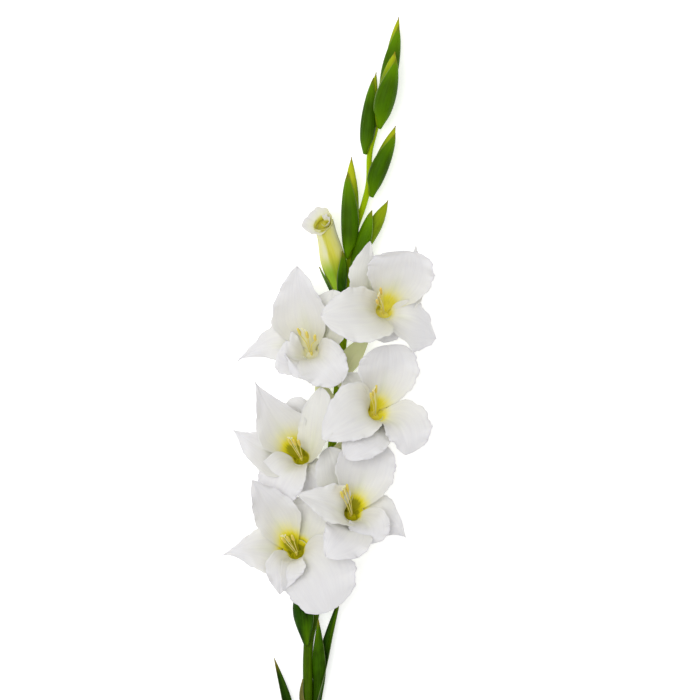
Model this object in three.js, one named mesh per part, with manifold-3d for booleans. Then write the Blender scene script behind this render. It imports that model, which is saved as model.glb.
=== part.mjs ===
// A cut spike of white gladiolus, lying on its back: stem, two leaves, green bracts,
// green buds, one bud just opening and six open florets.
//
// Millimetres. +Y runs along the stem to the tip of the spike, +Z points up, the way
// the florets face, and the origin is on the flat under the stem's cut end.
import * as THREE from "three";
import { mergeVertices } from "three/addons/utils/BufferGeometryUtils.js";
import Module from "manifold-3d";

const wasm = await Module();
wasm.setup();

// Driving dimensions
const PETAL_THICK = 0.8;
const BRACT_THICK = 0.8;
const LEAF_THICK = 1;
const GAP = 0.35; // between a piece and what it grows from
const SLIVER = 0.1; // detail smaller than this is dropped where bodies are joined
const MOUTH_RADIUS = 8.4; // floret tube, where its six lobes part
const TUBE_FOOT_RADIUS = 1.1; // floret tube, at its foot inside the bracts
const TUBE_WALL = 2.2;
const RIM = 2.4; // thickness of the tube's wall at its mouth
const TUBE_HOLLOW_FROM = 0.72; // share of the tube's length where its hollow begins
const LOBE_SINK = 1.3; // how far a lobe's foot is sunk below the tube's mouth
const LOBE_FOOT_HALF = 4.6; // half width of a lobe's foot
const LOBE_GRID = [6, 5]; // rows and columns of facets on a lobe
const SMALL_LOBE_GRID = [5, 4]; // the same on the opening bud
const OUTER_CURL = 3; // radius that an outer bract wraps, at its foot
const INNER_CURL = 1.95; // radius that an inner bract wraps, at its foot
const FILAMENT_RADIUS = 0.5;
const ANTHER_RADIUS = 1.1;
const ANTHER_LENGTH = 10;

// The stem's centre line: distance along it, sideways bend, height and radius.
const STEM = [
  { y: -15, x: 0, z: 4.45, r: 4.6 },
  { y: 20, x: 0, z: 4.45, r: 4.6 },
  { y: 80, x: 0.4, z: 6.6, r: 4.4 },
  { y: 144, x: 1, z: 8.2, r: 4 },
  { y: 186, x: 1.6, z: 9, r: 3.9 },
  { y: 212, x: 7, z: 9, r: 3.8 },
  { y: 234, x: 9.6, z: 9, r: 3.7 },
  { y: 316, x: 17.6, z: 9.5, r: 3.6 },
  { y: 394, x: 25.6, z: 10, r: 3.4 },
  { y: 464, x: 32.8, z: 10, r: 3 },
  { y: 512, x: 36.8, z: 10, r: 2.7 },
  { y: 544, x: 47, z: 10.5, r: 2.5 },
  { y: 560, x: 50.4, z: 11, r: 2.4 },
  { y: 583, x: 51.2, z: 11.5, r: 2.2 },
  { y: 602, x: 56, z: 10.5, r: 1.9 },
  { y: 624, x: 61.6, z: 9.5, r: 1.5 },
];
const STEM_SIDES = 12;
const STEM_RINGS = 20;

// Every floret: where it grows from the stem, on which side, where its mouth is, the
// way it faces, and its six lobes. A lobe has its place round the mouth in degrees
// from the floret's right side, the point its tip reaches, its greatest half width,
// how far it rises from the mouth before it bends, how much it arches towards the
// viewer, how much it cups and twists, how pointed it is, and its wave.
const FLORETS = [
  {
    name: "floret_1",
    node: 394,
    side: 1,
    mouth: [62, 455, 22],
    faces: [0.2, 0.3, 0.93],
    anthers: [53, 467, 50],
    lobes: [
      { at: 75, tip: [77, 505, 56], half: 27, rise: 32, arch: 5, cup: 0.5, point: 0.1, wave: 1.5, phase: 0 },
      { at: 140, tip: [52, 511, 40], half: 16, rise: 30, arch: 3, cup: 0.5, point: 0.6, wave: 1, phase: 2 },
      { at: 195, tip: [12, 452, 59], half: 24, rise: 30, arch: 8, cup: 0.2, point: 0.3, wave: 2, phase: 1 },
      { at: 255, tip: [82, 418, 48], half: 20, rise: 24, arch: 6, cup: 0.1, point: 0.4, wave: 2, phase: 3 },
      { at: 315, tip: [105, 433, 0.2], half: 22, rise: 27, arch: 14, cup: 0.1, point: 0.8, wave: 2, phase: 4 },
      { at: 15, tip: [87, 505, 34], half: 21, rise: 30, arch: 4, cup: 0.3, point: 0.6, wave: 1, phase: 5 },
    ],
  },
  {
    name: "floret_2",
    node: 357,
    side: -1,
    mouth: [4, 422, 21],
    faces: [-0.2, 0.28, 0.93],
    anthers: [0, 440, 48],
    lobes: [
      { at: 95, tip: [-6.4, 491, 48], half: 23, rise: 32, arch: 4, cup: 0.35, point: 0.95, wave: 1.5, phase: 1 },
      { at: 165, tip: [-56, 415, 0.33], half: 15, rise: 26, arch: 8, cup: 0.3, point: 0.7, wave: 1, phase: 2 },
      { at: 215, tip: [-20, 411, 50], half: 14, rise: 26, arch: 2, cup: 0.4, point: 0.5, wave: 1, phase: 3 },
      { at: 275, tip: [-11, 402, 38], half: 18, rise: 24, arch: 6, cup: 0.1, point: 0.3, wave: 2.5, phase: 0 },
      { at: 335, tip: [30, 396, 46], half: 22, rise: 26, arch: 6, cup: 0.1, point: 0.15, wave: 2.5, phase: 2 },
      { at: 35, tip: [20, 470, 32], half: 22, rise: 28, arch: 4, cup: 0.2, point: 0.4, wave: 1, phase: 4 },
    ],
  },
  {
    name: "floret_3",
    node: 318,
    side: 1,
    mouth: [55, 373, 22],
    faces: [0.36, 0.28, 0.89],
    anthers: [54, 390, 48],
    lobes: [
      { at: 90, tip: [66, 430, 38], half: 27, rise: 32, arch: 4, cup: 0.4, point: 0.1, wave: 1.5, phase: 2 },
      { at: 150, tip: [30, 405, 33], half: 16, rise: 25, arch: 2, cup: 0.6, point: 0.5, wave: 1, phase: 1 },
      { at: 210, tip: [13, 352, 55], half: 21, rise: 29, arch: 7, cup: 0.2, point: 0.5, wave: 1.5, phase: 3 },
      { at: 270, tip: [40, 335, 50], half: 23, rise: 27, arch: 6, cup: 0.1, point: 0.2, wave: 2.5, phase: 0 },
      { at: 325, tip: [84, 338, 38], half: 20, rise: 26, arch: 8, cup: 0.1, point: 0.4, wave: 2, phase: 5 },
      { at: 5, tip: [91.5, 351.5, 26], half: 12, rise: 22, arch: 3, cup: 0.3, point: 0.6, wave: 1.5, phase: 4 },
    ],
  },
  {
    name: "floret_4",
    node: 278,
    side: -1,
    mouth: [-4, 337, 21],
    faces: [-0.2, 0.34, 0.91],
    anthers: [-12, 356, 48],
    lobes: [
      { at: 130, tip: [-39.6, 399, 50], half: 23, rise: 32, arch: 5, cup: 0.3, point: 0.85, wave: 1, phase: 3 },
      { at: 190, tip: [-59.5, 360, 26], half: 24, rise: 28, arch: 8, cup: 0.2, point: 0.95, wave: 1.5, phase: 1 },
      { at: 245, tip: [-27, 299, 33], half: 22, rise: 24, arch: 3, cup: 0.1, point: 0.5, wave: 2, phase: 0 },
      { at: 305, tip: [9, 303, 28], half: 18, rise: 21, arch: 2, cup: 0.1, point: 0.5, wave: 2, phase: 2 },
      { at: 10, tip: [11, 394, 38], half: 14, rise: 27, arch: 4, cup: 0.8, point: 0.5, wave: 1, phase: 4 },
      { at: 75, tip: [-8, 389, 30], half: 22, rise: 28, arch: 3, cup: 0.3, point: 0.15, wave: 1, phase: 5 },
    ],
  },
  {
    name: "floret_5",
    node: 234,
    side: 1,
    mouth: [34, 298, 22],
    faces: [0.28, 0.32, 0.9],
    anthers: [34, 318, 48],
    lobes: [
      { at: 80, tip: [57, 352, 26], half: 24, rise: 27, arch: 3, cup: 0.4, point: 0.15, wave: 1.5, phase: 5 },
      { at: 140, tip: [21, 333, 44], half: 12, rise: 29, arch: 2, cup: 0.4, point: 0.5, wave: 1, phase: 0 },
      { at: 200, tip: [-6, 309, 57], half: 20, rise: 30, arch: 7, cup: 0.2, point: 0.6, wave: 1.5, phase: 2 },
      { at: 260, tip: [16, 259, 60], half: 21, rise: 28, arch: 7, cup: 0.1, point: 0.5, wave: 2, phase: 1 },
      { at: 320, tip: [50, 266, 42], half: 20, rise: 26, arch: 5, cup: 0.1, point: 0.4, wave: 2.5, phase: 3 },
      { at: 20, tip: [78, 273, 24], half: 22, rise: 28, arch: 8, cup: 0, point: 0.8, wave: 1.5, phase: 4 },
    ],
  },
  {
    name: "floret_6",
    node: 186,
    side: -1,
    mouth: [-8, 261, 22],
    faces: [-0.2, 0.34, 0.91],
    anthers: [-17, 279, 48],
    lobes: [
      { at: 125, tip: [-42, 321, 56], half: 21, rise: 32, arch: 4, cup: 0.3, point: 0.7, wave: 1.5, phase: 4 },
      { at: 180, tip: [-67, 258, 30], half: 25, rise: 30, arch: 8, cup: 0.2, point: 1, wave: 1, phase: 2 },
      { at: 235, tip: [-21, 228, 44], half: 20, rise: 26, arch: 5, cup: 0.2, point: 0.7, wave: 1.5, phase: 0 },
      { at: 280, tip: [-6, 228, 38], half: 16, rise: 26, arch: 4, cup: 0.1, point: 0.5, wave: 1.5, phase: 1 },
      { at: 320, tip: [8.2, 213, 44], half: 30, rise: 26, arch: 6, cup: 0, point: 0, wave: 2.5, phase: 3 },
      { at: 55, tip: [15, 291, 29], half: 21, rise: 26, arch: 3, cup: 0.2, point: 0.4, wave: 1, phase: 5 },
    ],
  },
];

// The bud that is just opening: a fat tube with four short lobes flaring at its mouth.
const OPENING = {
  node: 444,
  side: -1,
  mouth: [13.5, 521, 26],
  faces: [-0.35, 0.62, 0.7],
  body: 9.4,
  lobes: [
    { at: 100, tip: [11, 541, 27], half: 11, rise: 7, arch: 2, cup: 0.4, point: 0.2, wave: 1, phase: 0 },
    { at: 190, tip: [-4.5, 524, 32], half: 10, rise: 8, arch: 1, cup: 0.3, point: 0.4, wave: 1, phase: 2 },
    { at: 280, tip: [9, 526, 40], half: 9, rise: 8, arch: 0, cup: 0.8, point: 0.3, wave: 0.6, phase: 3 },
    { at: 10, tip: [19, 533, 34], half: 9, rise: 8, arch: 0, cup: 0.8, point: 0.3, wave: 0.6, phase: 5 },
  ],
};

// The green buds, from the lowest up: where each grows from the stem, on which side and
// how far aside of it, the point its tip reaches, the way it first rises, its greatest
// radius, how much of its length its bract covers and how far that bract's tip
// stands off.
const BUDS = [
  {
    name: "bud_1",
    node: 482,
    side: 1,
    aside: 0.7,
    tip: [66.4, 545, 17],
    rise: [1, 20, 2],
    radius: 4.4,
    cover: 0.8,
    flare: 4,
  },
  {
    name: "bud_2",
    node: 498,
    side: -1,
    aside: 0.3,
    tip: [37, 581.5, 15],
    rise: [4, 20, 4],
    radius: 5.6,
    cover: 0.9,
    flare: 0,
  },
  {
    name: "bud_3",
    node: 548,
    side: 1,
    aside: 0.75,
    tip: [72.4, 605.5, 17],
    rise: [3, 20, 5],
    radius: 5.6,
    cover: 0.94,
    flare: 0,
  },
  {
    name: "bud_4",
    node: 580,
    side: -1,
    aside: 0.75,
    tip: [55.2, 647, 9],
    rise: [1, 20, -2],
    radius: 4.9,
    cover: 0.94,
    flare: 0,
  },
  {
    name: "bud_5",
    node: 598,
    side: 1,
    aside: 0.35,
    tip: [71.4, 662.5, 26],
    rise: [4, 20, 12],
    radius: 6.8,
    cover: 0.94,
    flare: 0,
  },
  {
    name: "bud_6",
    node: 624,
    side: 0,
    aside: 0,
    tip: [74.8, 693.6, 12],
    rise: [5, 20, 0],
    radius: 5.6,
    cover: 0.94,
    flare: 0,
  },
];

// The two bracts of a floret: how much of the tube's path they run along, how far they
// stand clear of it, how wide they curl and how far round they wrap, at foot and top.
const OUTER_BRACT = { cover: 0.7, clear: 3.8, curl: OUTER_CURL, swell: 7.2, wrap: 1.9, open: 1.2 };
const INNER_BRACT = { cover: 0.52, clear: 0.8, curl: INNER_CURL, swell: 1.6, wrap: 1.8, open: 1.2 };

// The two bracts of the opening bud: the side they stand on, how much of the tube they
// cover, how far off it they stand, and how far round they wrap at foot and tip.
const OPENING_BRACTS = {
  outer: { out: [0.8, 0, 0.45], cover: 0.84, off: 0.9, wrap: [1.25, 1.6], flare: 0 },
  inner: { out: [-0.9, 0, -0.1], cover: 0.62, off: 0.8, wrap: [0.8, 1.3], flare: 1 },
};

// Leaves and bracts that lie along the lower stem: points of the middle line, the way
// the inner face looks at foot and tip, half widths at foot and middle, and how far
// each half curls round at foot and tip.
const LEAVES = [
  {
    name: "leaf_blade",
    line: [[-4.7, 58, 8.7], [-7, 85, 8.7], [-11.5, 115, 9.5], [-17, 144, 10], [-26.4, 175.2, 10]],
    inward: [[0.87, 0, -0.5], [0.1, 0, 0.98]],
    half: [7, 8.4],
    wrap: [1.25, 0.25],
    thick: LEAF_THICK,
  },
  {
    name: "sheath_leaf",
    line: [[-4.1, 92, 9.7], [-4, 112, 10.2], [-4.2, 132, 10.8], [-5, 146, 11.5], [-3, 158, 13]],
    inward: [[0.87, 0, -0.5], [0.8, 0, -0.6]],
    half: [6.9, 6],
    wrap: [1.3, 1],
    thick: BRACT_THICK,
  },
  {
    name: "lower_outer_bract",
    line: [[8.2, 112, 6], [10.2, 138, 6.5], [14, 166, 8], [18.5, 192, 9.5], [28.4, 228, 12]],
    inward: [[-0.95, 0, 0.3], [-0.35, 0, 0.94]],
    half: [6.5, 8],
    wrap: [1.4, 0.7],
    thick: BRACT_THICK,
  },
  {
    name: "lower_inner_bract",
    line: [[8, 138, 14], [9, 155, 15.5], [11, 172, 16.5], [11.6, 188, 17], [10, 205.5, 17]],
    inward: [[0.4, 0, -0.9], [0.3, 0, -0.95]],
    half: [2.4, 6.4],
    wrap: [1.2, 0.6],
    thick: BRACT_THICK,
  },
];

const RIGHT = new THREE.Vector3(1, 0, 0);
const clamp = THREE.MathUtils.clamp;
const ease = (x) => THREE.MathUtils.smoothstep(x, 0, 1);
const vec = (a) => new THREE.Vector3(...a);

/** A geometry as a solid, with its shared vertices merged. */
function solidOf(geometry) {
  const bare = geometry.index ? geometry.toNonIndexed() : geometry.clone();
  bare.deleteAttribute("normal");
  bare.deleteAttribute("uv");
  const merged = mergeVertices(bare, 1e-4);
  return new wasm.Manifold(
    new wasm.Mesh({
      numProp: 3,
      vertProperties: merged.attributes.position.array,
      triVerts: new Uint32Array(merged.index.array),
    }),
  );
}

/** A solid back as a geometry. */
function geometryOf(solid) {
  const mesh = solid.getMesh();
  const geometry = new THREE.BufferGeometry();
  geometry.setAttribute("position", new THREE.BufferAttribute(mesh.vertProperties, 3));
  geometry.setIndex(new THREE.BufferAttribute(mesh.triVerts, 1));
  return geometry;
}

/** The geometries joined into one body, with any pocket shut inside it filled. */
function fuse(geometries) {
  const whole = geometries.map(solidOf).reduce((sum, next) => sum.add(next));
  const shells = whole.simplify(SLIVER).decompose();
  return geometryOf(shells.reduce((a, b) => (a.volume() > b.volume() ? a : b)));
}

/** A geometry from triangles, each three points, leaving out those with no area. */
function fromTriangles(triangles) {
  const kept = triangles.filter(([a, b, c]) => a !== b && b !== c && c !== a);
  return new THREE.BufferGeometry().setFromPoints(kept.flat());
}

/** Two triangles across a four-sided face. */
const quad = (a, b, c, d) => [
  [a, b, c],
  [a, c, d],
];

/** A closed sheet of even thickness about a surface. The surface gives the point and
 * the normal at t, from foot to tip, and at v, from one margin to the other. Its rows
 * crowd towards the tip. */
function sheet(surface, rows, columns, thick) {
  const face = (side) => {
    const point = (i, j) => {
      const { p, n } = surface(1 - (1 - i / rows) ** 1.35, (2 * j) / columns - 1);
      return p.clone().addScaledVector(n, (side * thick) / 2);
    };
    const grid = [];
    for (let i = 0; i < rows; i++) {
      grid.push(Array.from({ length: columns + 1 }, (_, j) => point(i, j)));
    }
    grid.push(Array(columns + 1).fill(point(rows, columns / 2)));
    return grid;
  };
  const top = face(1);
  const back = face(-1);
  const triangles = [];
  for (let i = 0; i < rows; i++) {
    for (let j = 0; j < columns; j++) {
      triangles.push(...quad(top[i][j], top[i][j + 1], top[i + 1][j + 1], top[i + 1][j]));
      triangles.push(
        [back[i][j], back[i + 1][j + 1], back[i][j + 1]],
        [back[i][j], back[i + 1][j], back[i + 1][j + 1]],
      );
    }
    triangles.push(...quad(top[i][0], top[i + 1][0], back[i + 1][0], back[i][0]));
    const c = columns;
    triangles.push(...quad(top[i][c], back[i][c], back[i + 1][c], top[i + 1][c]));
  }
  for (let j = 0; j < columns; j++) {
    triangles.push(...quad(top[0][j], back[0][j], back[0][j + 1], top[0][j + 1]));
  }
  return fromTriangles(triangles);
}

/** A closed body through rings of points, each ring given by its centre, its two
 * directions and its radius. */
function skin(rings, sides, turn = 0) {
  const loops = rings.map(({ centre, right, up, radius }) =>
    Array.from({ length: sides }, (_, k) => {
      const angle = ((k + turn) * 2 * Math.PI) / sides;
      return centre
        .clone()
        .addScaledVector(right, radius * Math.cos(angle))
        .addScaledVector(up, radius * Math.sin(angle));
    }),
  );
  const triangles = [];
  for (let i = 0; i + 1 < loops.length; i++) {
    for (let k = 0; k < sides; k++) {
      const next = (k + 1) % sides;
      triangles.push(...quad(loops[i][k], loops[i][next], loops[i + 1][next], loops[i + 1][k]));
    }
  }
  const first = rings[0].centre;
  const last = rings.at(-1).centre;
  for (let k = 0; k < sides; k++) {
    const next = (k + 1) % sides;
    triangles.push([first, loops[0][next], loops[0][k]]);
    triangles.push([last, loops.at(-1)[k], loops.at(-1)[next]]);
  }
  return fromTriangles(triangles);
}

/** Rings along a path, square to it, with a radius for each share of its length. */
function ringsAlong(path, shares, radiusAt, right) {
  return shares.map((s) => {
    const along = path.getTangent(s);
    const across = right.clone().addScaledVector(along, -right.dot(along)).normalize();
    return {
      centre: path.getPoint(s),
      right: across,
      up: along.clone().cross(across),
      radius: radiusAt(s),
    };
  });
}

const steps = (from, to, count) =>
  Array.from({ length: count + 1 }, (_, i) => from + ((to - from) * i) / count);

/** The stem's centre and radius at a distance y, by a smooth curve through STEM. */
function stemAt(y) {
  const last = STEM.length - 1;
  const at = clamp(STEM.findIndex((s) => s.y > y) - 1, 0, last - 1);
  const i = y >= STEM[last].y ? last - 1 : at;
  const [a, b] = [STEM[i], STEM[i + 1]];
  const span = b.y - a.y;
  const u = (y - a.y) / span;
  const slope = (k, j) => {
    const before = STEM[Math.max(j - 1, 0)];
    const after = STEM[Math.min(j + 1, last)];
    return j === 0 ? 0 : (after[k] - before[k]) / (after.y - before.y);
  };
  const value = (k) => {
    const [m0, m1] = [slope(k, i) * span, slope(k, i + 1) * span];
    const cubic = u * u * (2 * u - 3);
    return (
      a[k] * (1 + cubic) - b[k] * cubic + m0 * u * (1 - u) * (1 - u) - m1 * u * u * (1 - u)
    );
  };
  return { centre: new THREE.Vector3(value("x"), y, value("z")), radius: value("r") };
}

/** The stem, a round rod with one flat of its twelve underneath. */
function stem() {
  const straight = STEM[1].y;
  const end = STEM.at(-1).y;
  const ys = [STEM[0].y, ...steps(straight, end, STEM_RINGS)];
  const rings = ys.map((y) => {
    const { centre, radius } = stemAt(y);
    const ahead = stemAt(Math.min(y + 1, end)).centre;
    const behind = stemAt(Math.max(y - 1, STEM[0].y)).centre;
    const along = y <= straight ? new THREE.Vector3(0, 1, 0) : ahead.sub(behind).normalize();
    const up = new THREE.Vector3(0, 0, 1).addScaledVector(along, -along.z).normalize();
    return { centre, right: up.clone().cross(along).normalize(), up, radius };
  });
  return skin(rings, STEM_SIDES, 0.5);
}

/** A blade about a curved middle line, as a surface. Its inner face looks to inward(t),
 * halfAt gives its half width, bowAt the angle that each half curls through, and
 * rippleAt how far its margin waves off that curl. */
function blade(middle, inward, halfAt, bowAt, rippleAt = () => 0) {
  return (t, v) => {
    const along = middle.getTangent(t);
    const c = middle.getPoint(t);
    const n = inward(t, c);
    n.addScaledVector(along, -n.dot(along)).normalize();
    const across = along.clone().cross(n);
    const half = halfAt(t);
    const bow = bowAt(t, half, c) || 1e-6;
    const p = c
      .clone()
      .addScaledVector(across, (half * Math.sin(bow * v)) / bow)
      .addScaledVector(n, (half * (1 - Math.cos(bow * v))) / bow + rippleAt(t, v));
    const normal = n
      .clone()
      .multiplyScalar(Math.cos(bow * v))
      .addScaledVector(across, -Math.sin(bow * v));
    return { p, n: normal };
  };
}

/** The point where a floret or bud leaves the stem, and the way out from the stem. */
function footOf({ node, side, aside = 0.2 }, lift) {
  const { centre, radius } = stemAt(node);
  const out = new THREE.Vector3(side * aside, 0, Math.sqrt(1 - aside * aside));
  return { foot: centre.addScaledVector(out, radius + GAP + lift), out };
}

/** The path of a floret's tube, from beside its stem to its mouth. */
function tubePath(floret) {
  const { foot } = footOf(floret, INNER_CURL + BRACT_THICK / 2);
  const { faces } = floretAxes(floret);
  const mouth = vec(floret.mouth);
  const rise = foot.clone().add(new THREE.Vector3(floret.side * 3, 28, 3.5));
  const bend = mouth.clone().addScaledVector(faces, -16).add(new THREE.Vector3(0, -10, 0));
  return new THREE.CubicBezierCurve3(foot, rise, bend, mouth);
}

/** A floret's own directions: the way it faces, its right and its up. */
function floretAxes(floret) {
  const faces = vec(floret.faces).normalize();
  const up = new THREE.Vector3(0, 1, 0).addScaledVector(faces, -faces.y).normalize();
  return { faces, up, right: up.clone().cross(faces) };
}

/** The tube's outer radius at a share of its length, slim or, with a body, fat. */
const tubeRadius = (s, body) =>
  body
    ? TUBE_FOOT_RADIUS + (body - TUBE_FOOT_RADIUS) * Math.sin(Math.PI * (0.5 * s ** 0.8 + 0.12 * s ** 3))
    : TUBE_FOOT_RADIUS + (MOUTH_RADIUS - TUBE_FOOT_RADIUS) * (0.2 * s + 0.8 * Math.pow(s, 6));

/** A floret's tube: a curved trumpet, hollow above TUBE_HOLLOW_FROM. */
function floretTube(floret) {
  const path = tubePath(floret);
  const { right } = floretAxes(floret);
  const radiusAt = (s) => tubeRadius(s, floret.body);
  const outside = ringsAlong(path, [0, 0.2, 0.4, 0.6, 0.75, 0.87, 1], radiusAt, right);
  const inside = ringsAlong(
    path,
    [1, 0.92, TUBE_HOLLOW_FROM],
    (s) => (s < 1 ? Math.max(radiusAt(s) - TUBE_WALL, 1.6) : radiusAt(1) - RIM),
    right,
  );
  return skin([...outside, ...inside], 10);
}

/** One lobe of a floret. Inner lobes and outer ones take turns round the mouth. */
function lobeSurface(floret, lobe, inner) {
  const { faces, up, right } = floretAxes(floret);
  const mouth = vec(floret.mouth);
  const angle = THREE.MathUtils.degToRad(lobe.at);
  const out = right
    .clone()
    .multiplyScalar(Math.cos(angle))
    .addScaledVector(up, Math.sin(angle));
  const rim = tubeRadius(1, floret.body);
  const foot = mouth
    .clone()
    .addScaledVector(faces, -LOBE_SINK)
    .addScaledVector(out, rim - (inner ? 1.65 : 0.75));
  const lean = THREE.MathUtils.degToRad(inner ? 27 : 29);
  const rise = foot
    .clone()
    .addScaledVector(faces, Math.cos(lean) * lobe.rise)
    .addScaledVector(out, Math.sin(lean) * lobe.rise);
  const tip = vec(lobe.tip);
  const bend = rise.clone().lerp(tip, 0.6).addScaledVector(faces, lobe.arch);
  const focus = mouth.clone().addScaledVector(faces, 42);
  const offAxis = (c) => c.clone().sub(mouth).cross(faces).length();
  const widen = (t) => 1 - Math.pow(1 - clamp(t / 0.48, 0, 1), 2);
  const taper = (t) =>
    (1 - clamp((t - 0.4) / 0.6, 0, 1) ** (2.4 - 1.3 * lobe.point)) ** (0.4 + 0.6 * lobe.point);
  const wave = (t) => lobe.wave * ease((t - 0.25) / 0.3) * (1 - Math.pow(t, 6));
  return blade(
    new THREE.CubicBezierCurve3(foot, rise, bend, tip),
    (t, c) => focus.clone().sub(c).normalize().lerp(faces, 0.8 * t),
    (t) => THREE.MathUtils.lerp(LOBE_FOOT_HALF, lobe.half, widen(t)) * taper(t),
    (t, half, c) => {
      const round = (inner ? 1.06 : 0.97) * Math.min(half / offAxis(c), 1.25);
      return THREE.MathUtils.lerp(round, lobe.cup, ease((t - 0.18) / 0.5));
    },
    (t, v) =>
      wave(t) * Math.pow(Math.abs(v), 3) *
      Math.sin(2 * Math.PI * 1.8 * t + lobe.phase + (v > 0 ? 0 : 1.9)),
  );
}

/** A floret's white body: its tube and its lobes grown together. */
function perianth(floret) {
  const [rows, columns] = floret.body ? SMALL_LOBE_GRID : LOBE_GRID;
  const lobes = floret.lobes.map((lobe, i) =>
    sheet(lobeSurface(floret, lobe, i % 2 === 0), rows, columns, PETAL_THICK),
  );
  return fuse([floretTube(floret), ...lobes]);
}

/** A thin rod or spindle through points, with a radius at each. */
function rod(points, radii, sides = 5) {
  const path = new THREE.CatmullRomCurve3(points);
  const last = radii.length - 1;
  const radiusAt = (s) => {
    const i = Math.min(Math.floor(s * last), last - 1);
    return THREE.MathUtils.lerp(radii[i], radii[i + 1], s * last - i);
  };
  const span = points.at(-1).clone().sub(points[0]);
  const right = span.clone().cross(new THREE.Vector3(0.3, 0.1, 1)).normalize();
  return skin(ringsAlong(path, steps(0, 1, last), radiusAt, right), sides);
}

/** The floret's three stamens and its branched style, on one column that stands on the
 * floor of the tube's hollow. */
function stamens(floret) {
  const { faces } = floretAxes(floret);
  const mouth = vec(floret.mouth);
  const path = tubePath(floret);
  const along = path.getTangent(TUBE_HOLLOW_FROM);
  const foot = path.getPoint(TUBE_HOLLOW_FROM).addScaledVector(along, GAP);
  const neck = mouth.clone().addScaledVector(faces, 1);
  const head = vec(floret.anthers);
  const lean = head.clone().sub(neck);
  const reach = lean.length();
  lean.normalize();
  const aside = faces.clone().cross(lean).normalize();
  const at = (ahead, across, lift) =>
    neck
      .clone()
      .addScaledVector(lean, ahead)
      .addScaledVector(aside, across)
      .addScaledVector(faces, lift);
  const parts = [rod([foot, path.getPoint(0.88), neck], [1.1, 1.5, 1.9], 6)];
  const half = ANTHER_LENGTH / 2;
  const thin = FILAMENT_RADIUS;
  for (const k of [-1, 0, 1]) {
    const line = [
      at(-1, k * 1.15, 0),
      at(reach * 0.45, k * 2.4, 1.5),
      at(reach - half, k * 3.4, 0),
      at(reach, k * 3.6, 0),
      at(reach + half, k * 4.2, 0.6),
    ];
    parts.push(rod(line, [thin, thin, thin, ANTHER_RADIUS, thin], 4));
  }
  const style = [at(-1, 0, 1.2), at(reach * 0.5, 1, 5), at(reach + 8, 1.8, 4.5)];
  parts.push(rod(style, [thin, thin, 0.6], 4));
  for (const k of [-1, 1]) {
    const branch = [at(reach + 7.6, 1.8 + k * 0.1, 4.5), at(reach + 12, 1.8 + k * 2.6, 5.5)];
    parts.push(rod(branch, [thin, 0.8], 4));
  }
  return fuse(parts);
}

/** A bract beside a path: it wraps the path at its foot, swells clear of it and closes
 * to a point. */
function bract(path, out, { cover, clear, curl, swell, wrap, open }) {
  const spread = (t) => Math.sin(Math.PI * Math.pow(t, 0.8));
  const outward = (s) => {
    const along = path.getTangent(s);
    return out.clone().addScaledVector(along, -out.dot(along)).normalize();
  };
  const middle = new THREE.CatmullRomCurve3(
    steps(0, 1, 6).map((t) => {
      const away = outward(t * cover);
      return path.getPoint(t * cover).addScaledVector(away, curl + clear * spread(t) + 1.2 * t);
    }),
  );
  const wrapAt = (t) => THREE.MathUtils.lerp(wrap, open, ease(t / 0.5));
  const close = (t) => 1 - Math.pow(t, 2.4);
  return sheet(
    blade(
      middle,
      (t) => outward(t * cover).negate(),
      (t) => (curl + swell * spread(t)) * wrapAt(t) * Math.pow(close(t), 0.9),
      (t) => wrapAt(t) * Math.pow(close(t), 0.5),
    ),
    7,
    4,
    BRACT_THICK,
  );
}

/** A leaf or bract along a line of points. */
function leaf({ line, inward, half, wrap, thick }) {
  const middle = new THREE.CatmullRomCurve3(line.map(vec));
  const [from, to] = inward.map(vec);
  const point = (t) => Math.pow(1 - Math.pow(t, 2), 0.9);
  return sheet(
    blade(
      middle,
      (t) => from.clone().lerp(to, t),
      (t) => THREE.MathUtils.lerp(half[0], half[1], ease(t / 0.5)) * point(t),
      (t) => THREE.MathUtils.lerp(wrap[0], wrap[1], ease(t / 0.7)),
    ),
    8,
    4,
    thick,
  );
}

/** The path of a green bud, from beside the stem to its tip. */
function budPath(bud) {
  const tip = vec(bud.tip);
  if (bud.side === 0) {
    const { centre } = stemAt(bud.node);
    const before = stemAt(bud.node - 4).centre;
    const along = centre.clone().sub(before).normalize();
    const foot = centre.addScaledVector(along, GAP + 0.4);
    const rise = foot.clone().add(vec(bud.rise));
    return new THREE.CubicBezierCurve3(foot, rise, tip.clone().lerp(foot, 0.3), tip);
  }
  const { foot } = footOf(bud, budRadius(bud, 0) * 1.06 + 1.2);
  const rise = foot.clone().add(vec(bud.rise));
  return new THREE.CubicBezierCurve3(foot, rise, tip.clone().lerp(foot, 0.3), tip);
}

/** A green bud's radius at a share of its length. */
const budRadius = (bud, s) =>
  Math.max(
    bud.radius * (0.2 + 0.8 * Math.sin(Math.PI * Math.pow(s, 0.8) * 0.97)) * (1 - s ** 7),
    0.4,
  );

/** The closed bud itself. */
function budCore(bud) {
  const shares = [0, 0.14, 0.34, 0.56, 0.78, 0.92, 1];
  return skin(ringsAlong(budPath(bud), shares, (s) => budRadius(bud, s), RIGHT), 8);
}

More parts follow.
